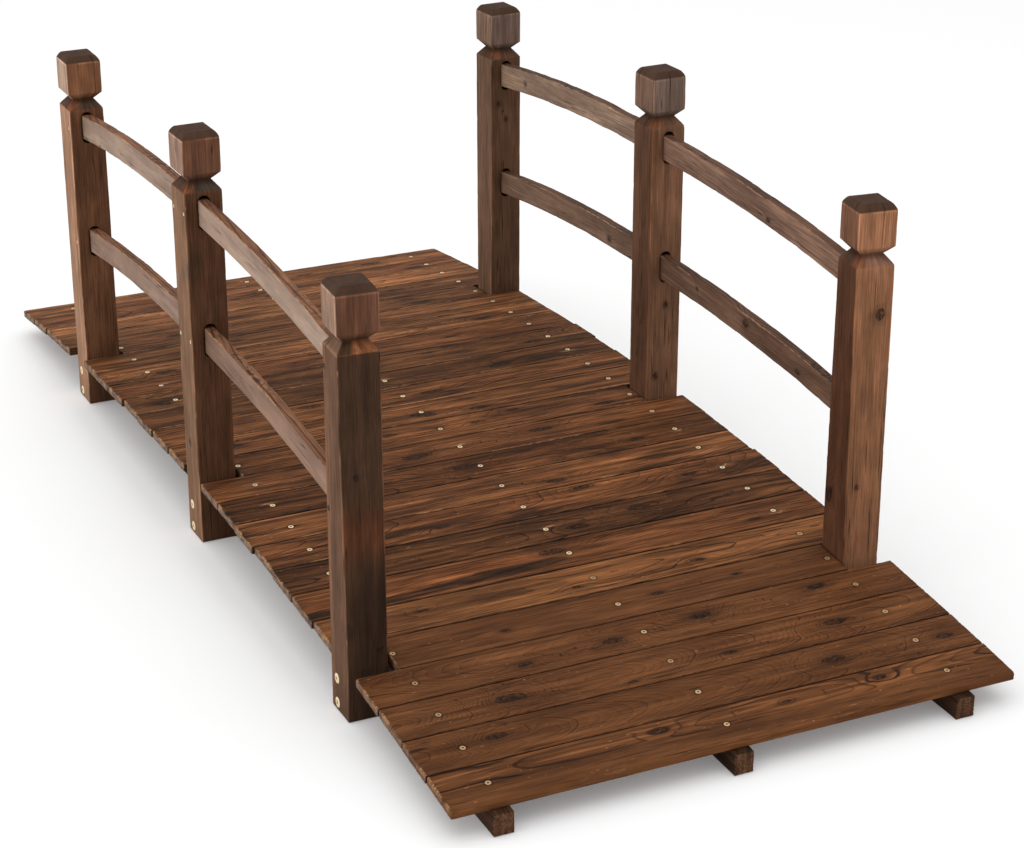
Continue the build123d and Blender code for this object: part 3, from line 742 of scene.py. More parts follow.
# how pale the visible face of each rail is painted: partly weathering, partly painted sheen
RAIL_PALE = {"upper_front_left": (1.37, 1.56, 1.64), "lower_front_left": (0.95, 0.92, 0.90), "upper_back_left": (1.22, 1.37, 1.44), "lower_back_left": (1.10, 1.15, 1.18),
             "upper_front_right": (1.54, 1.68, 1.88), "lower_front_right": (1.10, 1.15, 1.21), "upper_back_right": (1.94, 2.39, 2.70), "lower_back_right": (1.25, 1.40, 1.50)}
for si, (side, y) in enumerate((("left", -POST_Y), ("right", POST_Y))):
    for li, (level, crown) in enumerate((("upper", UPPER), ("lower", LOWER))):
        for ei, (place, sgn) in enumerate((("front", 1), ("back", -1))):
            seed = 6000 + 100 * si + 10 * li + ei
            r = np.random.RandomState(seed)
            xa, xb = POST / 2 - SLOT_D + 0.1, POST_X - POST / 2 + SLOT_D - 0.1
            knots = [(r.uniform(-150, 150), r.uniform(-8, 8), r.uniform(3, 5), r.uniform(0.5, 0.9))] if side == "right" else []
            if (side, level, place) == ("right", "lower", "front"):
                knots = [(-2, 4, 6.5, 0.9), (118, -5, 4, 0.8), (-120, 3, 3, 0.7)]
            # straight grain: the rings run out through the curved edges
            wood = Wood(seed + 3, RAIL_H, 460, pith=(r.uniform(-46, -24), -r.uniform(26, 44)), spacing=r.uniform(2.4, 3.4), knots=knots, wild=0.6)
            n = Noise(seed + 5)
            nt, ns = 16, 26
            a, b, na, nb = rounded_box(RAIL_T / 2 - 0.1, RAIL_H / 2 - 0.1, 1.3, nt, ns)
            ts = np.array(sorted(set(np.round(np.concatenate([np.linspace(xa + 1.5, xb - 1.5, 118), [xa, xa + 0.3, xb - 0.3, xb]]), 3))))
            shape = (len(ts), len(a))
            X, A, B = np.broadcast_to(ts[:, None], shape), np.broadcast_to(a[None, :], shape), np.broadcast_to(b[None, :], shape)
            L = X - (xa + xb) / 2
            xc, zc, radius = rail_circle(crown)
            run = rail_z(crown, X) - rail_z(crown, (xa + xb) / 2) - (rail_z(crown, xb) - rail_z(crown, xa)) * L / (xb - xa)
            ring = wood.ring(L, B + run, A)
            f = ring - np.floor(ring)
            ridge = smooth(0.5, 0.9, f) * (1 - smooth(0.94, 1.0, f))
            edge = np.abs(na * nb)[None, :] * 2
            chip = smooth(0.42, 0.66, n.fbm(L / 14.0, np.sign(A) * 3 + np.sign(B) * 7, 3)) * edge
            end_d = np.minimum(X - xa, xb - X)
            d = 0.10 * ridge - 0.12 + 0.10 * n.fbm(L / 50.0, (A + B) / 2.4, 3) - 0.7 * chip
            d = d + 0.10 * np.abs(nb)[None, :] * n.at(L / 1.9, A / 9.0)
            d = np.minimum(d, 0.10) - 0.5 * (end_d < 0.2)
            # hand-shaped curve: the edges wander a little
            sway = 1.3 * n.fbm(L / 42.0, 5.0 + (B > 0), 3) * np.abs(B) / (RAIL_H / 2) * smooth(0, 40, end_d)
            la, lb = A + na[None, :] * d, B + nb[None, :] * d + np.minimum(sway * np.sign(B), 0) * np.sign(B)
            ang = np.arcsin((X - xc) / radius)
            px = np.clip(X + lb * np.sin(ang), xa, xb)
            pz = rail_z(crown, X) + lb * np.cos(ang)
            P = np.stack([sgn * px, y + la, pz], -1)
            flip = (lambda v: np.asarray(v)[::-1]) if sgn < 0 else (lambda v: np.asarray(v))
            wts = np.stack([np.clip(-na, 0, 1) ** 2, np.clip(na, 0, 1) ** 2, np.clip(nb, 0, 1) ** 2, np.clip(-nb, 0, 1) ** 2])
            face = (wts[:, :, None] * np.array(RAIL_TINT[side])[:, None, :]).sum(0) / wts.sum(0)[:, None]
            pale = 1 + (np.array(RAIL_PALE["%s_%s_%s" % (level, place, side)]) - 1) * (np.clip(-na, 0, 1) ** 2)[:, None]
            tint = np.broadcast_to((face * pale)[None], shape + (3,)) * (1 + 0.10 * n.fbm(L / 120.0, B / 30.0 + 2, 2))[..., None]
            # arrises are rubbed warm
            tint = tint * (1 - (np.array([0.00, 0.10, 0.18]) * edge[..., None]))
            char_and_shade = 0.22 * smooth(0.15, 0.6, n.fbm(L / 160.0, B / 8.0, 3))
            # painted shade: the rail is painted darker where it runs into the post's slot
            inside = smooth(xa + SLOT_D + 2, xa + SLOT_D - 4, X) + smooth(xb - SLOT_D - 2, xb - SLOT_D + 4, X)
            char_and_shade = char_and_shade + 0.55 * np.clip(inside, 0, 1)
            wear_and_highlight = 0.5 * chip + 0.62 * edge * smooth(-0.3, 0.4, n.fbm(L / 60.0, np.sign(A) * 4 + np.sign(B), 2))
            endg = (end_d < 0.4) * 1.0
            sawn = 0.7 * np.clip(nb, 0, 1)[None, :] ** 2 * smooth(-0.1, 0.3, n.fbm(L / 90.0, li * 3.0 + si, 2)) * (1.0 if (li + ei) % 2 else 0.45)
            gco = np.stack([(L + wood.off[0] * 90) * MM, (B + run + wood.off[1] * 30) * MM, (A + wood.off[2] * 30) * MM], -1)
            mood = (0.06, 0.04, 0.07) if side == "left" else (0.25, 0.20, 0.70)
            mood = np.broadcast_to(np.array(mood), shape + (3,)).copy()
            mood[..., 2] = np.maximum(mood[..., 2], (2.6 if level == "lower" else 1.6) * np.abs(nb)[None, :])
            at = {"ring": ring, "gco": gco, "kco": wood.knot(L, B), "wear_and_highlight": wear_and_highlight, "char_and_shade": np.clip(char_and_shade, 0, 1), "tint": tint, "endg": endg,
                  "mood": mood, "sawn": np.broadcast_to(sawn, shape)}
            name = "%s_rail_%s_%s" % (level, place, side)
            me = grid_mesh(name + "_wood", flip(P), nt, ns, {k: flip(v) for k, v in at.items()})
            add_object(name + "_wood", me, RAILW, name)


# ---------------------------------------------------------------- posts
def post_half(z, top):
    """Half width of the post at height z."""
    s = POST / 2
    zf = top - CH_Z
    zu = zf - HEAD
    zn = zu - NECK_UP
    zs = zn - NECK_LO
    half = np.interp(z, [0, zs, zn, zu, zf, top], [s, s, s - NECK_D, s, s, s - CH_XY])
    # the sanded slopes of the head are a little rounded
    t = np.clip((z - zf) / CH_Z, 0, 1)
    return half + 0.40 * CH_XY * (t - 1 + np.sqrt(np.maximum(1 - t * t, 0)))


# tint of each post's faces, partly stain and partly painted light and shade, the pale bluish -Y faces with painted
# sheen: +X front, +Y, -X, -Y
FACE_TINT = {
    "front_left": ((0.41, 0.44, 0.45), (0.7, 0.68, 0.66), (0.8, 0.8, 0.8), (0.84, 0.90, 0.95)),
    "middle_left": ((0.60, 0.56, 0.52), (0.7, 0.68, 0.66), (0.8, 0.8, 0.8), (1.45, 1.66, 1.74)),
    "back_left": ((0.80, 0.75, 0.70), (0.7, 0.68, 0.66), (0.8, 0.8, 0.8), (2.28, 2.67, 3.00)),
    "front_right": ((1.75, 1.70, 1.60), (0.9, 0.9, 0.9), (0.8, 0.8, 0.8), (0.74, 0.66, 0.62)),
    "middle_right": ((1.20, 1.25, 1.30), (0.9, 0.9, 0.9), (0.8, 0.8, 0.8), (0.85, 0.86, 0.88)),
    "back_right": ((0.60, 0.64, 0.66), (0.9, 0.9, 0.9), (0.8, 0.8, 0.8), (1.17, 1.39, 1.60)),
}
# stain of each head against its shaft, partly painted light and sheen: +X and -Y faces
HEAD_TINT = {
    "front_left": ((1.35, 1.16, 1.22), (1.44, 1.72, 2.05)), "middle_left": ((0.96, 0.94, 1.08), (0.80, 0.89, 1.13)), "back_left": ((1.04, 1.00, 0.97), (0.72, 0.87, 1.02)),
    "front_right": ((0.70, 0.69, 0.69), (1.08, 1.20, 1.35)), "middle_right": ((0.58, 0.78, 1.06), (0.98, 1.21, 1.48)), "back_right": ((1.05, 1.33, 1.86), (0.89, 0.97, 1.06)),
}
# how pale the front slope of each shoulder is painted: partly the wood's tone, partly painted light
SHOULDER = {"front_left": (1.65, 1.80, 1.85), "middle_left": (0.67, 0.93, 1.09), "back_left": (0.8, 0.9, 1.0),
            "front_right": (2.5, 2.63, 2.92), "middle_right": (2.25, 2.25, 2.2), "back_right": (1.2, 1.2, 1.2)}
# how far the top of each post is wound round against its foot, degrees
WIND = {"front_left": -3.5, "middle_left": 1.2, "back_left": 0.0, "front_right": -7.0, "middle_right": 2.4, "back_right": 3.4}


def wind(q, key, x, y, top):
    """Points of a post in mm, turned about its own axis more and more above the deck."""
    q = np.asarray(q, float)
    ang = math.radians(WIND[key]) * np.clip((q[..., 2] - 90.0) / (top - 160.0), 0, 1)
    dx, dy = q[..., 0] - x, q[..., 1] - y
    return np.stack([x + dx * np.cos(ang) - dy * np.sin(ang), y + dx * np.sin(ang) + dy * np.cos(ang), q[..., 2]], -1)


PIECE = ("ring", "gco", "kco", "wear_and_highlight", "char_and_shade", "tint", "endg", "mood", "sawn")

for si, (side, y) in enumerate((("left", -POST_Y), ("right", POST_Y))):
    for pi, (place, x) in enumerate((("front", POST_X), ("middle", 0.0), ("back", -POST_X))):
        seed = 7000 + 100 * si + 10 * pi
        r = np.random.RandomState(seed)
        key = "%s_%s" % (place, side)
        top = TOP_MID if place == "middle" else TOP_END
        zf = top - CH_Z
        zu = zf - HEAD
        zn = zu - NECK_UP
        zs = zn - NECK_LO
        slots = []  # (face sign along X, z)
        for crown in (UPPER, LOWER):
            if place in ("front", "middle"):
                sg = -1 if place == "front" else 1
                slots.append((sg, float(rail_z(crown, abs(x + sg * (POST / 2 - SLOT_D / 2))))))
            if place in ("middle", "back"):
                sg = 1 if place == "back" else -1
                slots.append((sg, float(rail_z(crown, abs(x + sg * (POST / 2 - SLOT_D / 2))))))
        zl = [0.0, 0.3, 0.9, 2.0]
        zl += list(np.arange(6, zs - 3, 5.5))
        for _, zc in slots:
            zl += list(np.arange(zc - SLOT_H / 2 - 3, zc + SLOT_H / 2 + 3.1, 1.4))
        zl += [zs - 2.0, zs - 0.7, zs, zs + 0.7, zs + 3, zs + 6, zn - 1.0, zn - 0.3, zn, zn + 0.3, zn + 1.2, zn + 4, zn + 8, zu - 0.8, zu, zu + 0.8, zu + 3]
        zl += list(np.arange(zu + 6, zf - 4, 5.0)) + [zf - 2.5, zf - 0.8, zf, zf + 0.8, zf + 3, zf + 5.5, top - 0.7, top - 0.2, top]
        zl = np.array(sorted(zl))
        keep = [0]
        for q in range(1, len(zl)):
            if zl[q] - zl[keep[-1]] > 0.14:
                keep.append(q)
        zl = zl[keep]
        zl[-1] = top
        nt, ns = 25, 20
        s = POST / 2 + 0.1
        # local a is X and local b is -Y, so the first run faces -Y and the sides are +X and -X
        a, b, na, nb = rounded_box(s, s, 1.8, nt, ns)
        shape = (len(zl), len(a))
        Z, A, B = np.broadcast_to(zl[:, None], shape), np.broadcast_to(a[None, :], shape), np.broadcast_to(b[None, :], shape)
        hw = post_half(Z, top) / (POST / 2)
        on_x = np.abs(na) > np.abs(nb)
        peri = np.where(on_x[None, :], B, A)
        faceid = np.where(on_x, np.sign(na) * 2 + 5, np.sign(nb) + 1)[None, :]
        knots = [(r.uniform(60, 380), r.uniform(-14, 14), r.uniform(3, 5), r.uniform(0.35, 0.6)) for _ in range(2)]
        if key == "middle_left":
            knots = [(120, 196, 4.0, 0.4)]
        if key == "back_left":
            knots = []
        if key == "front_right":
            knots = [(352, 8, 7.0, 0.45), (130, 186, 9.0, 0.35), (150, -10, 3, 0.4)]
        wood = Wood(seed + 3, POST, 500, pith=(r.uniform(-30, 30), -r.uniform(8, 40)), spacing=r.uniform(1.1, 1.5), knots=knots, tilt=(r.uniform(-0.012, 0.012), r.uniform(-0.012, 0.012)), wild=0.55)
        n = Noise(seed + 5)
        ring = wood.ring(Z, A * hw, B * hw)
        f = ring - np.floor(ring)
        ridge = smooth(0.5, 0.9, f) * (1 - smooth(0.94, 1.0, f))
        edge = np.abs(na * nb)[None, :] * 2
        corner = np.sign(A) * 3 + np.sign(B) * 7
        chip = smooth(0.42, 0.68, n.fbm(Z / 15.0, corner, 3)) * edge
        d = 0.10 * ridge - 0.05 + 0.12 * n.fbm(Z / 45.0, peri / 2.2 + faceid * 31, 3) - 0.6 * chip + 0.10 * n.at(Z / 13.0, peri / 10.0 + faceid * 7)
        crease = np.zeros(shape)
        for zc, soft in ((zs, 1.6), (zu, 3.2), (zf, 1.8)):
            crease = np.maximum(crease, np.exp(-((Z - zc) / soft) ** 2))
        d = d - 0.42 * crease * (0.8 + 0.5 * n.fbm(peri / 6.0, faceid * 3.0, 2))
        d = np.minimum(d, 0.12)
        bottom = np.where(Z < 1.2, 1.2 - Z, 0) * 0.8
        topd = np.where(Z > top - 0.9, (Z - (top - 0.9)), 0) * 0.9
        d = d - bottom - topd
        la, lb, Zm = A * hw + na[None, :] * d, B * hw + nb[None, :] * d, Z.copy()
        # slots for the rail ends, cut into the +X and -X runs
        drop = np.zeros((len(zl) - 1, len(a)), bool)
        rr, straight = SLOT_W / 2, SLOT_H / 2 - SLOT_W / 2
        cuts = []
        for sg, zc in slots:
            cols = np.arange(nt, nt + ns) if sg > 0 else np.arange(2 * nt + ns, 2 * nt + 2 * ns)
            t, zz = lb[:, cols], Zm[:, cols]
            mid4 = lambda v: 0.25 * (v[:-1, :-1] + v[1:, :-1] + v[:-1, 1:] + v[1:, 1:])
            inside = np.hypot(mid4(t), np.maximum(np.abs(mid4(zz) - zc) - straight, 0.0)) - rr < 0
            for ci in range(len(cols) - 1):
                drop[:, cols[ci]] |= inside[:, ci]
            full = np.zeros(t.shape, int)
            for da in (0, 1):
                for db in (0, 1):
                    full[da:da + inside.shape[0], db:db + inside.shape[1]] += inside
            rim = (full > 0) & (full < 4)
            # move the rim on to the outline
            tt, zq = t[rim], zz[rim]
            dz = np.sign(zq - zc) * np.maximum(np.abs(zq - zc) - straight, 0)
            rad = np.maximum(np.hypot(tt, dz), 1e-6)
            t2, z2 = t.copy(), zz.copy()
            t2[rim], z2[rim] = tt / rad * rr, zq - dz + dz / rad * rr
            lb[:, cols], Zm[:, cols] = t2, z2
            cuts.append((sg, zc, cols, inside))
        P = np.stack([x + la, y - lb, Zm], -1)
        wts = np.stack([np.clip(na, 0, 1) ** 2, np.clip(-nb, 0, 1) ** 2, np.clip(-na, 0, 1) ** 2, np.clip(nb, 0, 1) ** 2])
        face = (wts[:, :, None] * np.array(FACE_TINT[key])[:, None, :]).sum(0) / wts.sum(0)[:, None]
        tint = np.broadcast_to(face[None], shape + (3,)) * (1 + 0.12 * n.fbm(Z / 110.0, faceid * 5.0 + peri / 60.0, 2))[..., None]
        neck = np.exp(-((Z - zn) / 2.2) ** 2)
        under = smooth(zn, zn + 1.5, Z) * smooth(zu + 0.5, zu - 1.5, Z)
        shoulder = smooth(zs - 0.5, zs + 0.8, Z) * smooth(zn + 0.5, zn - 1.0, Z)
        cap = smooth(zf - 0.6, zf + 0.8, Z)
        head = smooth(zn - 0.5, zn + 0.5, Z)
        front = np.clip(na, 0, 1)[None, :] ** 2
        out = np.clip(nb if si == 0 else -nb, 0, 1)[None, :] ** 2
        # the heads took less stain than the shafts
        tint = tint * (1 + head[..., None] * np.array([0.62, 0.66, 0.70]))
        left = np.clip(nb, 0, 1)[None, :] ** 2
        hf, hl = np.array(HEAD_TINT[key])
        tint = tint * (1 + head[..., None] * (front[..., None] * (hf - 1) + left[..., None] * (hl - 1)))
        # painted shade: the slope under the head is painted darker towards the neck
        tint = tint * (1 - 0.66 * np.clip((zu - Z) / NECK_UP, 0, 1) ** 1.4 * under)[..., None]
        # shoulders: dull, with raw red-brown patches near the corner
        hip = np.exp(-((A - s) ** 2 + (B - s) ** 2) / 130.0) + (0.8 * front if key == "front_left" else 0.0)
        hip = np.clip(hip * (0.7 + 0.8 * n.fbm(peri / 7.0 + 5, Z / 5.0 + faceid, 2)), 0, 1) * shoulder
        grey = np.array([0.55, 0.58, 0.64]) * (1.0 + 0.25 * n.fbm(peri / 8.0, Z / 6.0 + faceid * 3, 2))[..., None]
        level = 1 + front[..., None] * (np.array(SHOULDER[key]) - 1)
        tint = tint * (1 - shoulder[..., None]) + shoulder[..., None] * (grey * level)
        tint = tint * (1 - hip[..., None]) + hip[..., None] * np.array([1.35, 0.95, 0.70]) * (1.5 if key == "front_left" else 1.0)
        if key == "front_left":
            # grey slopes round the left corner with a pale rim, flecked raw wood on the front
            fleck = n.fbm(peri / 2.2 + 3, Z / 1.6 + faceid, 2)
            slope = shoulder * front * (1 + 0.55 * fleck)
            tint = tint * (1 - (shoulder * front)[..., None]) + slope[..., None] * np.array([1.62, 1.32, 1.05])
            cool = shoulder * np.clip(front * smooth(5, 9, B + 2 * fleck) + left, 0, 1)
            tint = tint * (1 - cool[..., None]) + cool[..., None] * (front[..., None] * np.array([0.50, 0.52, 0.56]) + left[..., None] * np.array([1.05, 1.25, 1.45]))
            rim = np.exp(-((Z - zs) / 0.9) ** 2) + np.exp(-((Z - zn + 1.2) / 0.8) ** 2)
            tint = tint * (1 + (np.clip(rim, 0, 1) * left * 0.9)[..., None])
            # the left face is paler along its back edge
            pale = left * smooth(-5, -19, A) * (1 - head) * (1 - shoulder)
            tint = tint * (1 + pale[..., None] * np.array([0.62, 0.55, 0.48]))
        if key == "middle_left":
            # a smoky patch of figure round the near corner, below the upper rail
            u = np.where(on_x[None, :], (s - B) * 1.1, (s - A) * 0.9)
            swirl = np.exp(-((Z - 344 - 0.35 * np.where(on_x[None, :], s - B, A - s)) / 13.0) ** 2 - (u / 17.0) ** 2) * np.clip(front + left, 0, 1)
            swirl = np.clip(1.5 * swirl * (0.8 + 0.7 * n.fbm(u / 6.0 + 2, Z / 9.0, 2)), 0, 1)
            tint = tint * (1 - swirl[..., None] * np.array([0.42, 0.30, 0.20]))
        # the sawn top is grey-brown end grain all over, chamfers too; the chamfers are painted a little paler than the
        # flat top, painted light that evens out their shading
        slant = cap * (1 - smooth(top - 1.2, top - 0.4, Z))
        tint = tint * (1 - cap[..., None]) + cap[..., None] * np.array([0.42, 0.47, 0.55]) * (1 + 0.16 * slant[..., None])
        char_and_shade = 0.20 * smooth(0.15, 0.6, n.fbm(Z / 170.0, peri / 7.0 + faceid * 11, 3)) * (1 - cap)
        # painted shade in the neck crease, the sawn top a little darker, and darker towards the foot
        char_and_shade = char_and_shade + 0.55 * neck + 0.10 * cap + 0.22 * smooth(70, 0, Z)
        if key == "front_left":
            # the front face is scorched towards the deck, with a red patch above
            char_and_shade = char_and_shade + front * ((0.50 + 0.012 * (-B)) * smooth(185, 135, Z + 0.8 * B) * smooth(20, 60, Z) * (0.8 + 0.5 * n.fbm(Z / 60.0, B / 5.0, 2)))
            red = front * np.exp(-((Z - 212) / 26.0) ** 2)
            tint = tint * (1 + red[..., None] * np.array([0.75, 0.25, 0.05]))
        wear_and_highlight = 0.4 * chip * (1 - cap) * (1 - neck)
        # arrises painted pale, partly rubbed wear and partly painted highlight, cooler on the left posts: a thin line
        # down the corners and round the top of the head
        rub_and_highlight = edge * smooth(-0.45, 0.25, n.fbm(Z / 55.0, corner * 1.7, 2)) * (1 - cap) * (1 - neck) * (1 - shoulder)
        rub_and_highlight = np.maximum(rub_and_highlight, np.exp(-((Z - zf + 0.5) / 0.7) ** 2) * smooth(-0.5, 0.2, n.fbm(peri / 14.0, faceid * 3 + 1.0, 2)) * 0.8)
        tint = tint * (1 + rub_and_highlight[..., None] * (np.array([1.1, 1.2, 1.3]) if si == 0 else np.array([0.7, 0.6, 0.5])))
        endg = cap * 0.12
        gco = np.stack([(Z + wood.off[0] * 90) * MM, (A + wood.off[1] * 30) * MM, (B + wood.off[2] * 30) * MM], -1)
        kco = wood.knot(Z, np.where(on_x[None, :], -B, A + 200.0))
        mood = np.broadcast_to(np.array((0.18, 0.18, 0.85)), shape + (3,)) * (1 - 0.9 * cap[..., None])
        at = {"ring": ring, "gco": gco, "kco": kco, "wear_and_highlight": np.clip(wear_and_highlight, 0, 1), "char_and_shade": np.clip(char_and_shade, 0, 1), "tint": tint, "endg": endg, "mood": mood, "sawn": np.zeros(shape)}
        # slot walls and floors, painted dark: painted shade inside the slots
        m, nl = shape
        base = m * nl + 2 * ns * (nt - 2)
        flat = P.reshape(-1, 3)
        flat_at = {k: np.asarray(v).reshape(m * nl, -1) for k, v in at.items()}
        extra_v, extra_f, ea = [], [], {k: [] for k in PIECE}

        def inner_values(ids, count=None):
            for kk in PIECE:
                v = flat_at[kk][ids]
                if count:
                    v = v.mean(0, keepdims=True)
                # the slot walls are painted dark: painted shade
                if kk == "char_and_shade":
                    v = np.full_like(v, 0.85)
                if kk in ("wear_and_highlight", "endg"):
                    v = v * 0.0
                ea[kk].extend(v.tolist())

        for sg, zc, cols, inside in cuts:
            # outline of the removed cells, as one directed loop
            edges = {}
            for zi, ci in zip(*np.nonzero(inside)):
                v00, v01 = zi * nl + cols[ci], zi * nl + cols[ci + 1]
                v10, v11 = v00 + nl, v01 + nl
                for e in ((v00, v01), (v01, v11), (v11, v10), (v10, v00)):
                    if (e[1], e[0]) in edges:
                        del edges[(e[1], e[0])]
                    else:
                        edges[e] = True
            nxt = {e[0]: e[1] for e in edges}
            start = next(iter(nxt))
            loop, cur = [start], nxt[start]
            while cur != start and len(loop) < 5000:
                loop.append(cur)
                cur = nxt[cur]
            k = len(loop)
            rows = [loop]
            for depth in (0.8, 5.0, SLOT_D):
                q = flat[loop].copy()
                q[:, 0] = x + sg * (POST / 2 - depth)
                ids = [base + len(extra_v) + c for c in range(k)]
                extra_v.extend(q.tolist())
                inner_values(loop)
                for c in range(k):
                    c2 = (c + 1) % k
                    extra_f.append((rows[-1][c], rows[-1][c2], ids[c2], ids[c]))
                rows.append(ids)
            mid = base + len(extra_v)
            extra_v.append([x + sg * (POST / 2 - SLOT_D), y, zc])
            inner_values(loop, 1)
            ring_ids = rows[-1] + ([rows[-1][-1]] if k % 2 else [])
            for c in range(0, len(ring_ids), 2):
                extra_f.append((ring_ids[c], ring_ids[(c + 1) % len(ring_ids)], ring_ids[(c + 2) % len(ring_ids)], mid))
        extra = (wind(extra_v, key, x, y, top), np.array(extra_f, int), {k: np.array(v) for k, v in ea.items()})
        me = grid_mesh("post_%s_wood" % key, wind(P, key, x, y, top), nt, ns, at, drop_faces=drop, extra=extra)
        add_object("post_%s_wood" % key, me, POSTW, "post_" + key)


# ---------------------------------------------------------------- screws
def screw_head(radius, dome, recess_r, recess_d, arm, seg=36):
    """Round head with a cross recess; +Z is out of the wood. Returns vertices, faces and the recess mask."""
    k = radius / recess_r
    rs = np.array([0.0, 0.28, 0.55, 0.8, 0.97, 1.06, 1.0 + 0.45 * (k - 1), 1.0 + 0.75 * (k - 1), 0.95 * k, k, k]) * recess_r
    vs, pit = [], []
    for q, rad in enumerate(rs):
        for j in range(seg):
            t = 2 * math.pi * j / seg
            px, py = rad * math.cos(t), rad * math.sin(t)
            z = dome * (1 - (rad / radius) ** 2)
            cut = 0.0
            if rad < recess_r * 1.02:
                cut = smooth(arm * 1.35, arm * 0.85, min(abs(px), abs(py))) * smooth(recess_r * 1.03, recess_r * 0.9, rad)
                cut = max(float(cut), float(smooth(recess_r * 0.6, recess_r * 0.4, rad)))
            z -= recess_d * float(cut)
            if q == len(rs) - 2:
                z -= 0.12
            if q == len(rs) - 1:
                z -= 0.9
            vs.append((px, py, z))
            # the cross recess is painted dark, and the ring sunk into the wood is painted dark: painted shadow round
            # the head
            pit.append(float(cut) if q < len(rs) - 1 else 0.8)
    fs = []
    for q in range(len(rs) - 1):
        for j in range(seg):
            j2 = (j + 1) % seg
            if q == 0:
                fs.append((0, seg + j, seg + j2))
            else:
                fs.append((seg * q + j, seg * (q + 1) + j, seg * (q + 1) + j2, seg * q + j2))
    return np.array(vs), fs, np.array(pit)


def screw_set(name, places, head, node=None):
    """places: (matrix in mm, how dark the head is)."""
    hv, hf, hp = head
    verts, faces, pits = [], [], []
    for M, dim in places:
        off = len(verts)
        for v in hv:
            verts.append(tuple((M @ Vector(v)) * MM))
        faces += [tuple(off + i for i in f) for f in hf]
        pits += np.maximum(hp, dim).tolist()
    me = bpy.data.meshes.new(name)
    me.from_pydata(verts, [], faces)
    at = me.attributes.new("pit", "FLOAT", "POINT")
    at.data.foreach_set("value", np.array(pits, np.float32))
    me.polygons.foreach_set("use_smooth", np.ones(len(me.polygons), bool))
    me.validate(clean_customdata=False)
    return add_object(name, me, BRASS, node)


deck_head = screw_head(3.2, 0.25, 1.6, 1.0, 0.42, 24)
big_head = screw_head(5.75, 0.7, 2.7, 1.6, 0.6)
pin_head = screw_head(2.8, 0.3, 1.2, 0.9, 0.36, 24)
rs = np.random.RandomState(77)
for side, yb in (("left", -BEAM_Y), ("centre", 0.0), ("right", BEAM_Y)):
    places = []
    for i in range(1, PLANKS + 1):
        x0, z0, th = deck_frame(13 - i)
        M = Matrix.Translation((x0, yb, z0)) @ Matrix.Rotation(th, 4, "Y") @ Matrix.Translation((0.0, 0.0, -0.40))
        M = M @ Matrix.Rotation(rs.uniform(-0.06, 0.06), 4, "X") @ Matrix.Rotation(rs.uniform(0, 1.57), 4, "Z")
        places.append((M, rs.choice((0.22, 0.32, 0.45)) if i < 7 else rs.choice((0.0, 0.0, 0.0, 0.06, 0.15))))
    screw_set("deck_screws_" + side, places, deck_head)
for side, sgn in (("left", -1), ("right", 1)):
    big, pins = [], []
    turn = Matrix.Rotation(math.radians(90) * (1 if sgn < 0 else -1), 4, "X")
    fy = sgn * (POST_Y + POST / 2)
    for x in (POST_X, 0.0, -POST_X):
        for z in (10.0, 38.5):
            big.append((Matrix.Translation((x - 7.0, fy + sgn * 0.5, z)) @ turn @ Matrix.Rotation(rs.uniform(0, 1.5), 4, "Z"), 0.0))
        for crown in (UPPER, LOWER):
            for dx in (-17.0, 17.0):
                if (x > 1 and dx > 0) or (x < -1 and dx < 0):
                    continue
                # on the near left post the pins are dark discs flush with the face: painted shade of open holes
                open_hole = x > 1 and sgn < 0
                key = "%s_%s" % ("middle" if abs(x) < 1 else "front" if x > 0 else "back", side)
                at = wind([x + dx, fy + sgn * (0.15 if open_hole else -0.05), float(rail_z(crown, abs(x + dx)))], key, x, sgn * POST_Y, TOP_MID if abs(x) < 1 else TOP_END)
                pins.append((Matrix.Translation(tuple(at)) @ turn @ Matrix.Rotation(rs.uniform(0, 1.5), 4, "Z") @ Matrix.Scale(1.2 if open_hole else 1.0, 4), 0.98 if open_hole else 0.0))
    screw_set("post_screws_%s_heads" % side, big, big_head, "post_screws_" + side)
    screw_set("rail_pins_" + side, pins, pin_head)

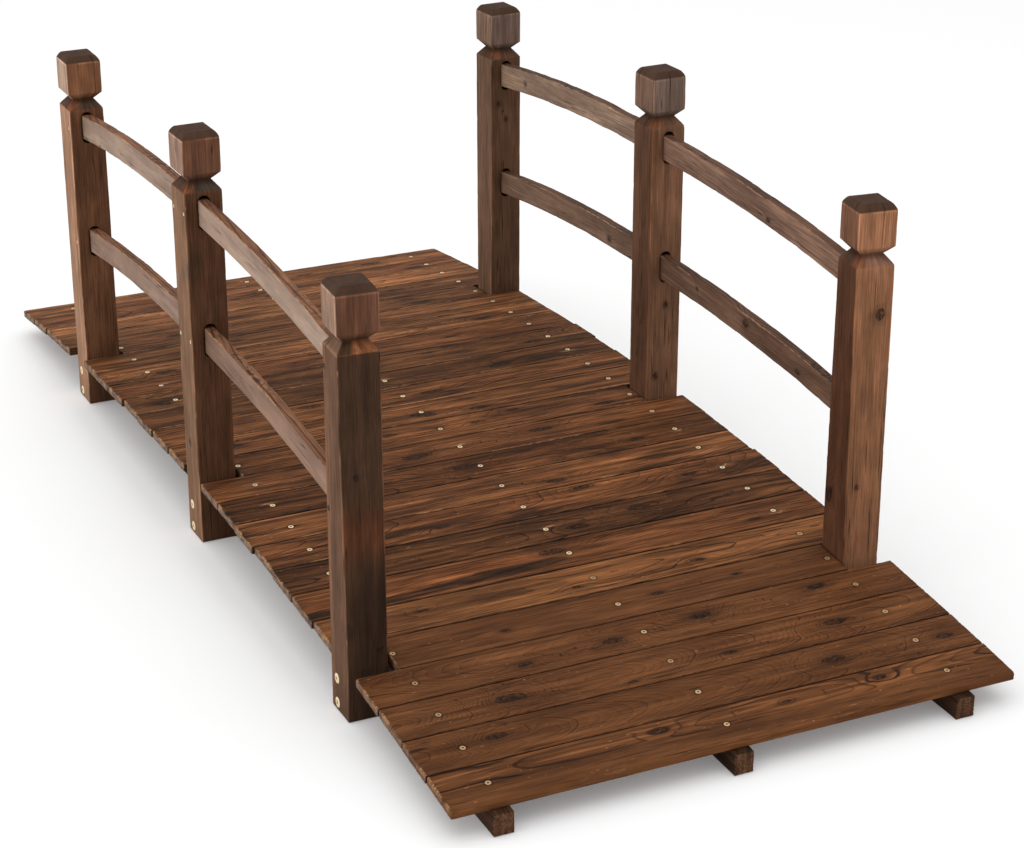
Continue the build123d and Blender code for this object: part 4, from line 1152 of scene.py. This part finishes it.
# ---------------------------------------------------------------- floor, light, camera
fl = bpy.data.meshes.new("studio_floor")
fl.from_pydata([(-30, -30, -0.0005), (30, -30, -0.0005), (30, 30, -0.0005), (-30, 30, -0.0005)], [], [(0, 1, 2, 3)])
floor = bpy.data.objects.new("studio_floor", fl)
bpy.context.scene.collection.objects.link(floor)
FN = Nodes("pale_studio_floor")
pos = FN.t.nodes.new("ShaderNodeTexCoord").outputs["Object"]
tint = FN.ramp(FN.noise(pos, 0.8, 2.0, 0.5), [(0.0, (0.775, 0.775, 0.775)), (1.0, (0.795, 0.795, 0.795))])
FN.put(FN.bsdf.inputs["Base Color"], tint)
FN.bsdf.inputs["Roughness"].default_value = 0.9
FN.bsdf.inputs["Emission Color"].default_value = (1.0, 1.0, 1.0, 1.0)
FN.bsdf.inputs["Emission Strength"].default_value = 0.14
FN.bsdf.inputs["Specular IOR Level"].default_value = 0.05
fl.materials.append(FN.mat)

world = bpy.data.worlds.new("studio")
bpy.context.scene.world = world
world.use_nodes = True
bg = world.node_tree.nodes["Background"]
bg.inputs[0].default_value = (1.0, 1.0, 1.0, 1.0)
bg.inputs[1].default_value = 0.86


def area(name, loc, target, size, power, colour=(1, 1, 1)):
    d = bpy.data.lights.new(name, "AREA")
    d.shape = "RECTANGLE"
    d.size, d.size_y = size
    d.energy = power
    d.color = colour
    o = bpy.data.objects.new(name, d)
    bpy.context.scene.collection.objects.link(o)
    o.location = loc
    o.rotation_mode = "QUATERNION"
    o.rotation_quaternion = (Vector(target) - Vector(loc)).to_track_quat("-Z", "Y")
    return o


area("overhead_softbox", (0.5, -0.3, 5.0), (0, 0, 0), (6.0, 6.0), 110)
area("left_panel", (-0.3, -4.5, 1.3), (0, 0, 0.6), (5.0, 2.4), 43)

cam = bpy.data.cameras.new("camera")
cam.sensor_fit = "HORIZONTAL"
cam.sensor_width = 36.0
cam.lens = 2505.7 * 36.0 / 1024.0
cam.clip_start, cam.clip_end = 0.05, 100.0
co = bpy.data.objects.new("camera", cam)
bpy.context.scene.collection.objects.link(co)
co.location = (2.6156, -1.12682, 1.30737)
yaw, pitch = math.radians(154.9111), math.radians(-23.2053)
fwd = Vector((math.cos(yaw) * math.cos(pitch), math.sin(yaw) * math.cos(pitch), math.sin(pitch)))
co.rotation_mode = "QUATERNION"
co.rotation_quaternion = fwd.to_track_quat("-Z", "Y")
bpy.context.scene.camera = co

bpy.context.scene.view_settings.view_transform = "Standard"
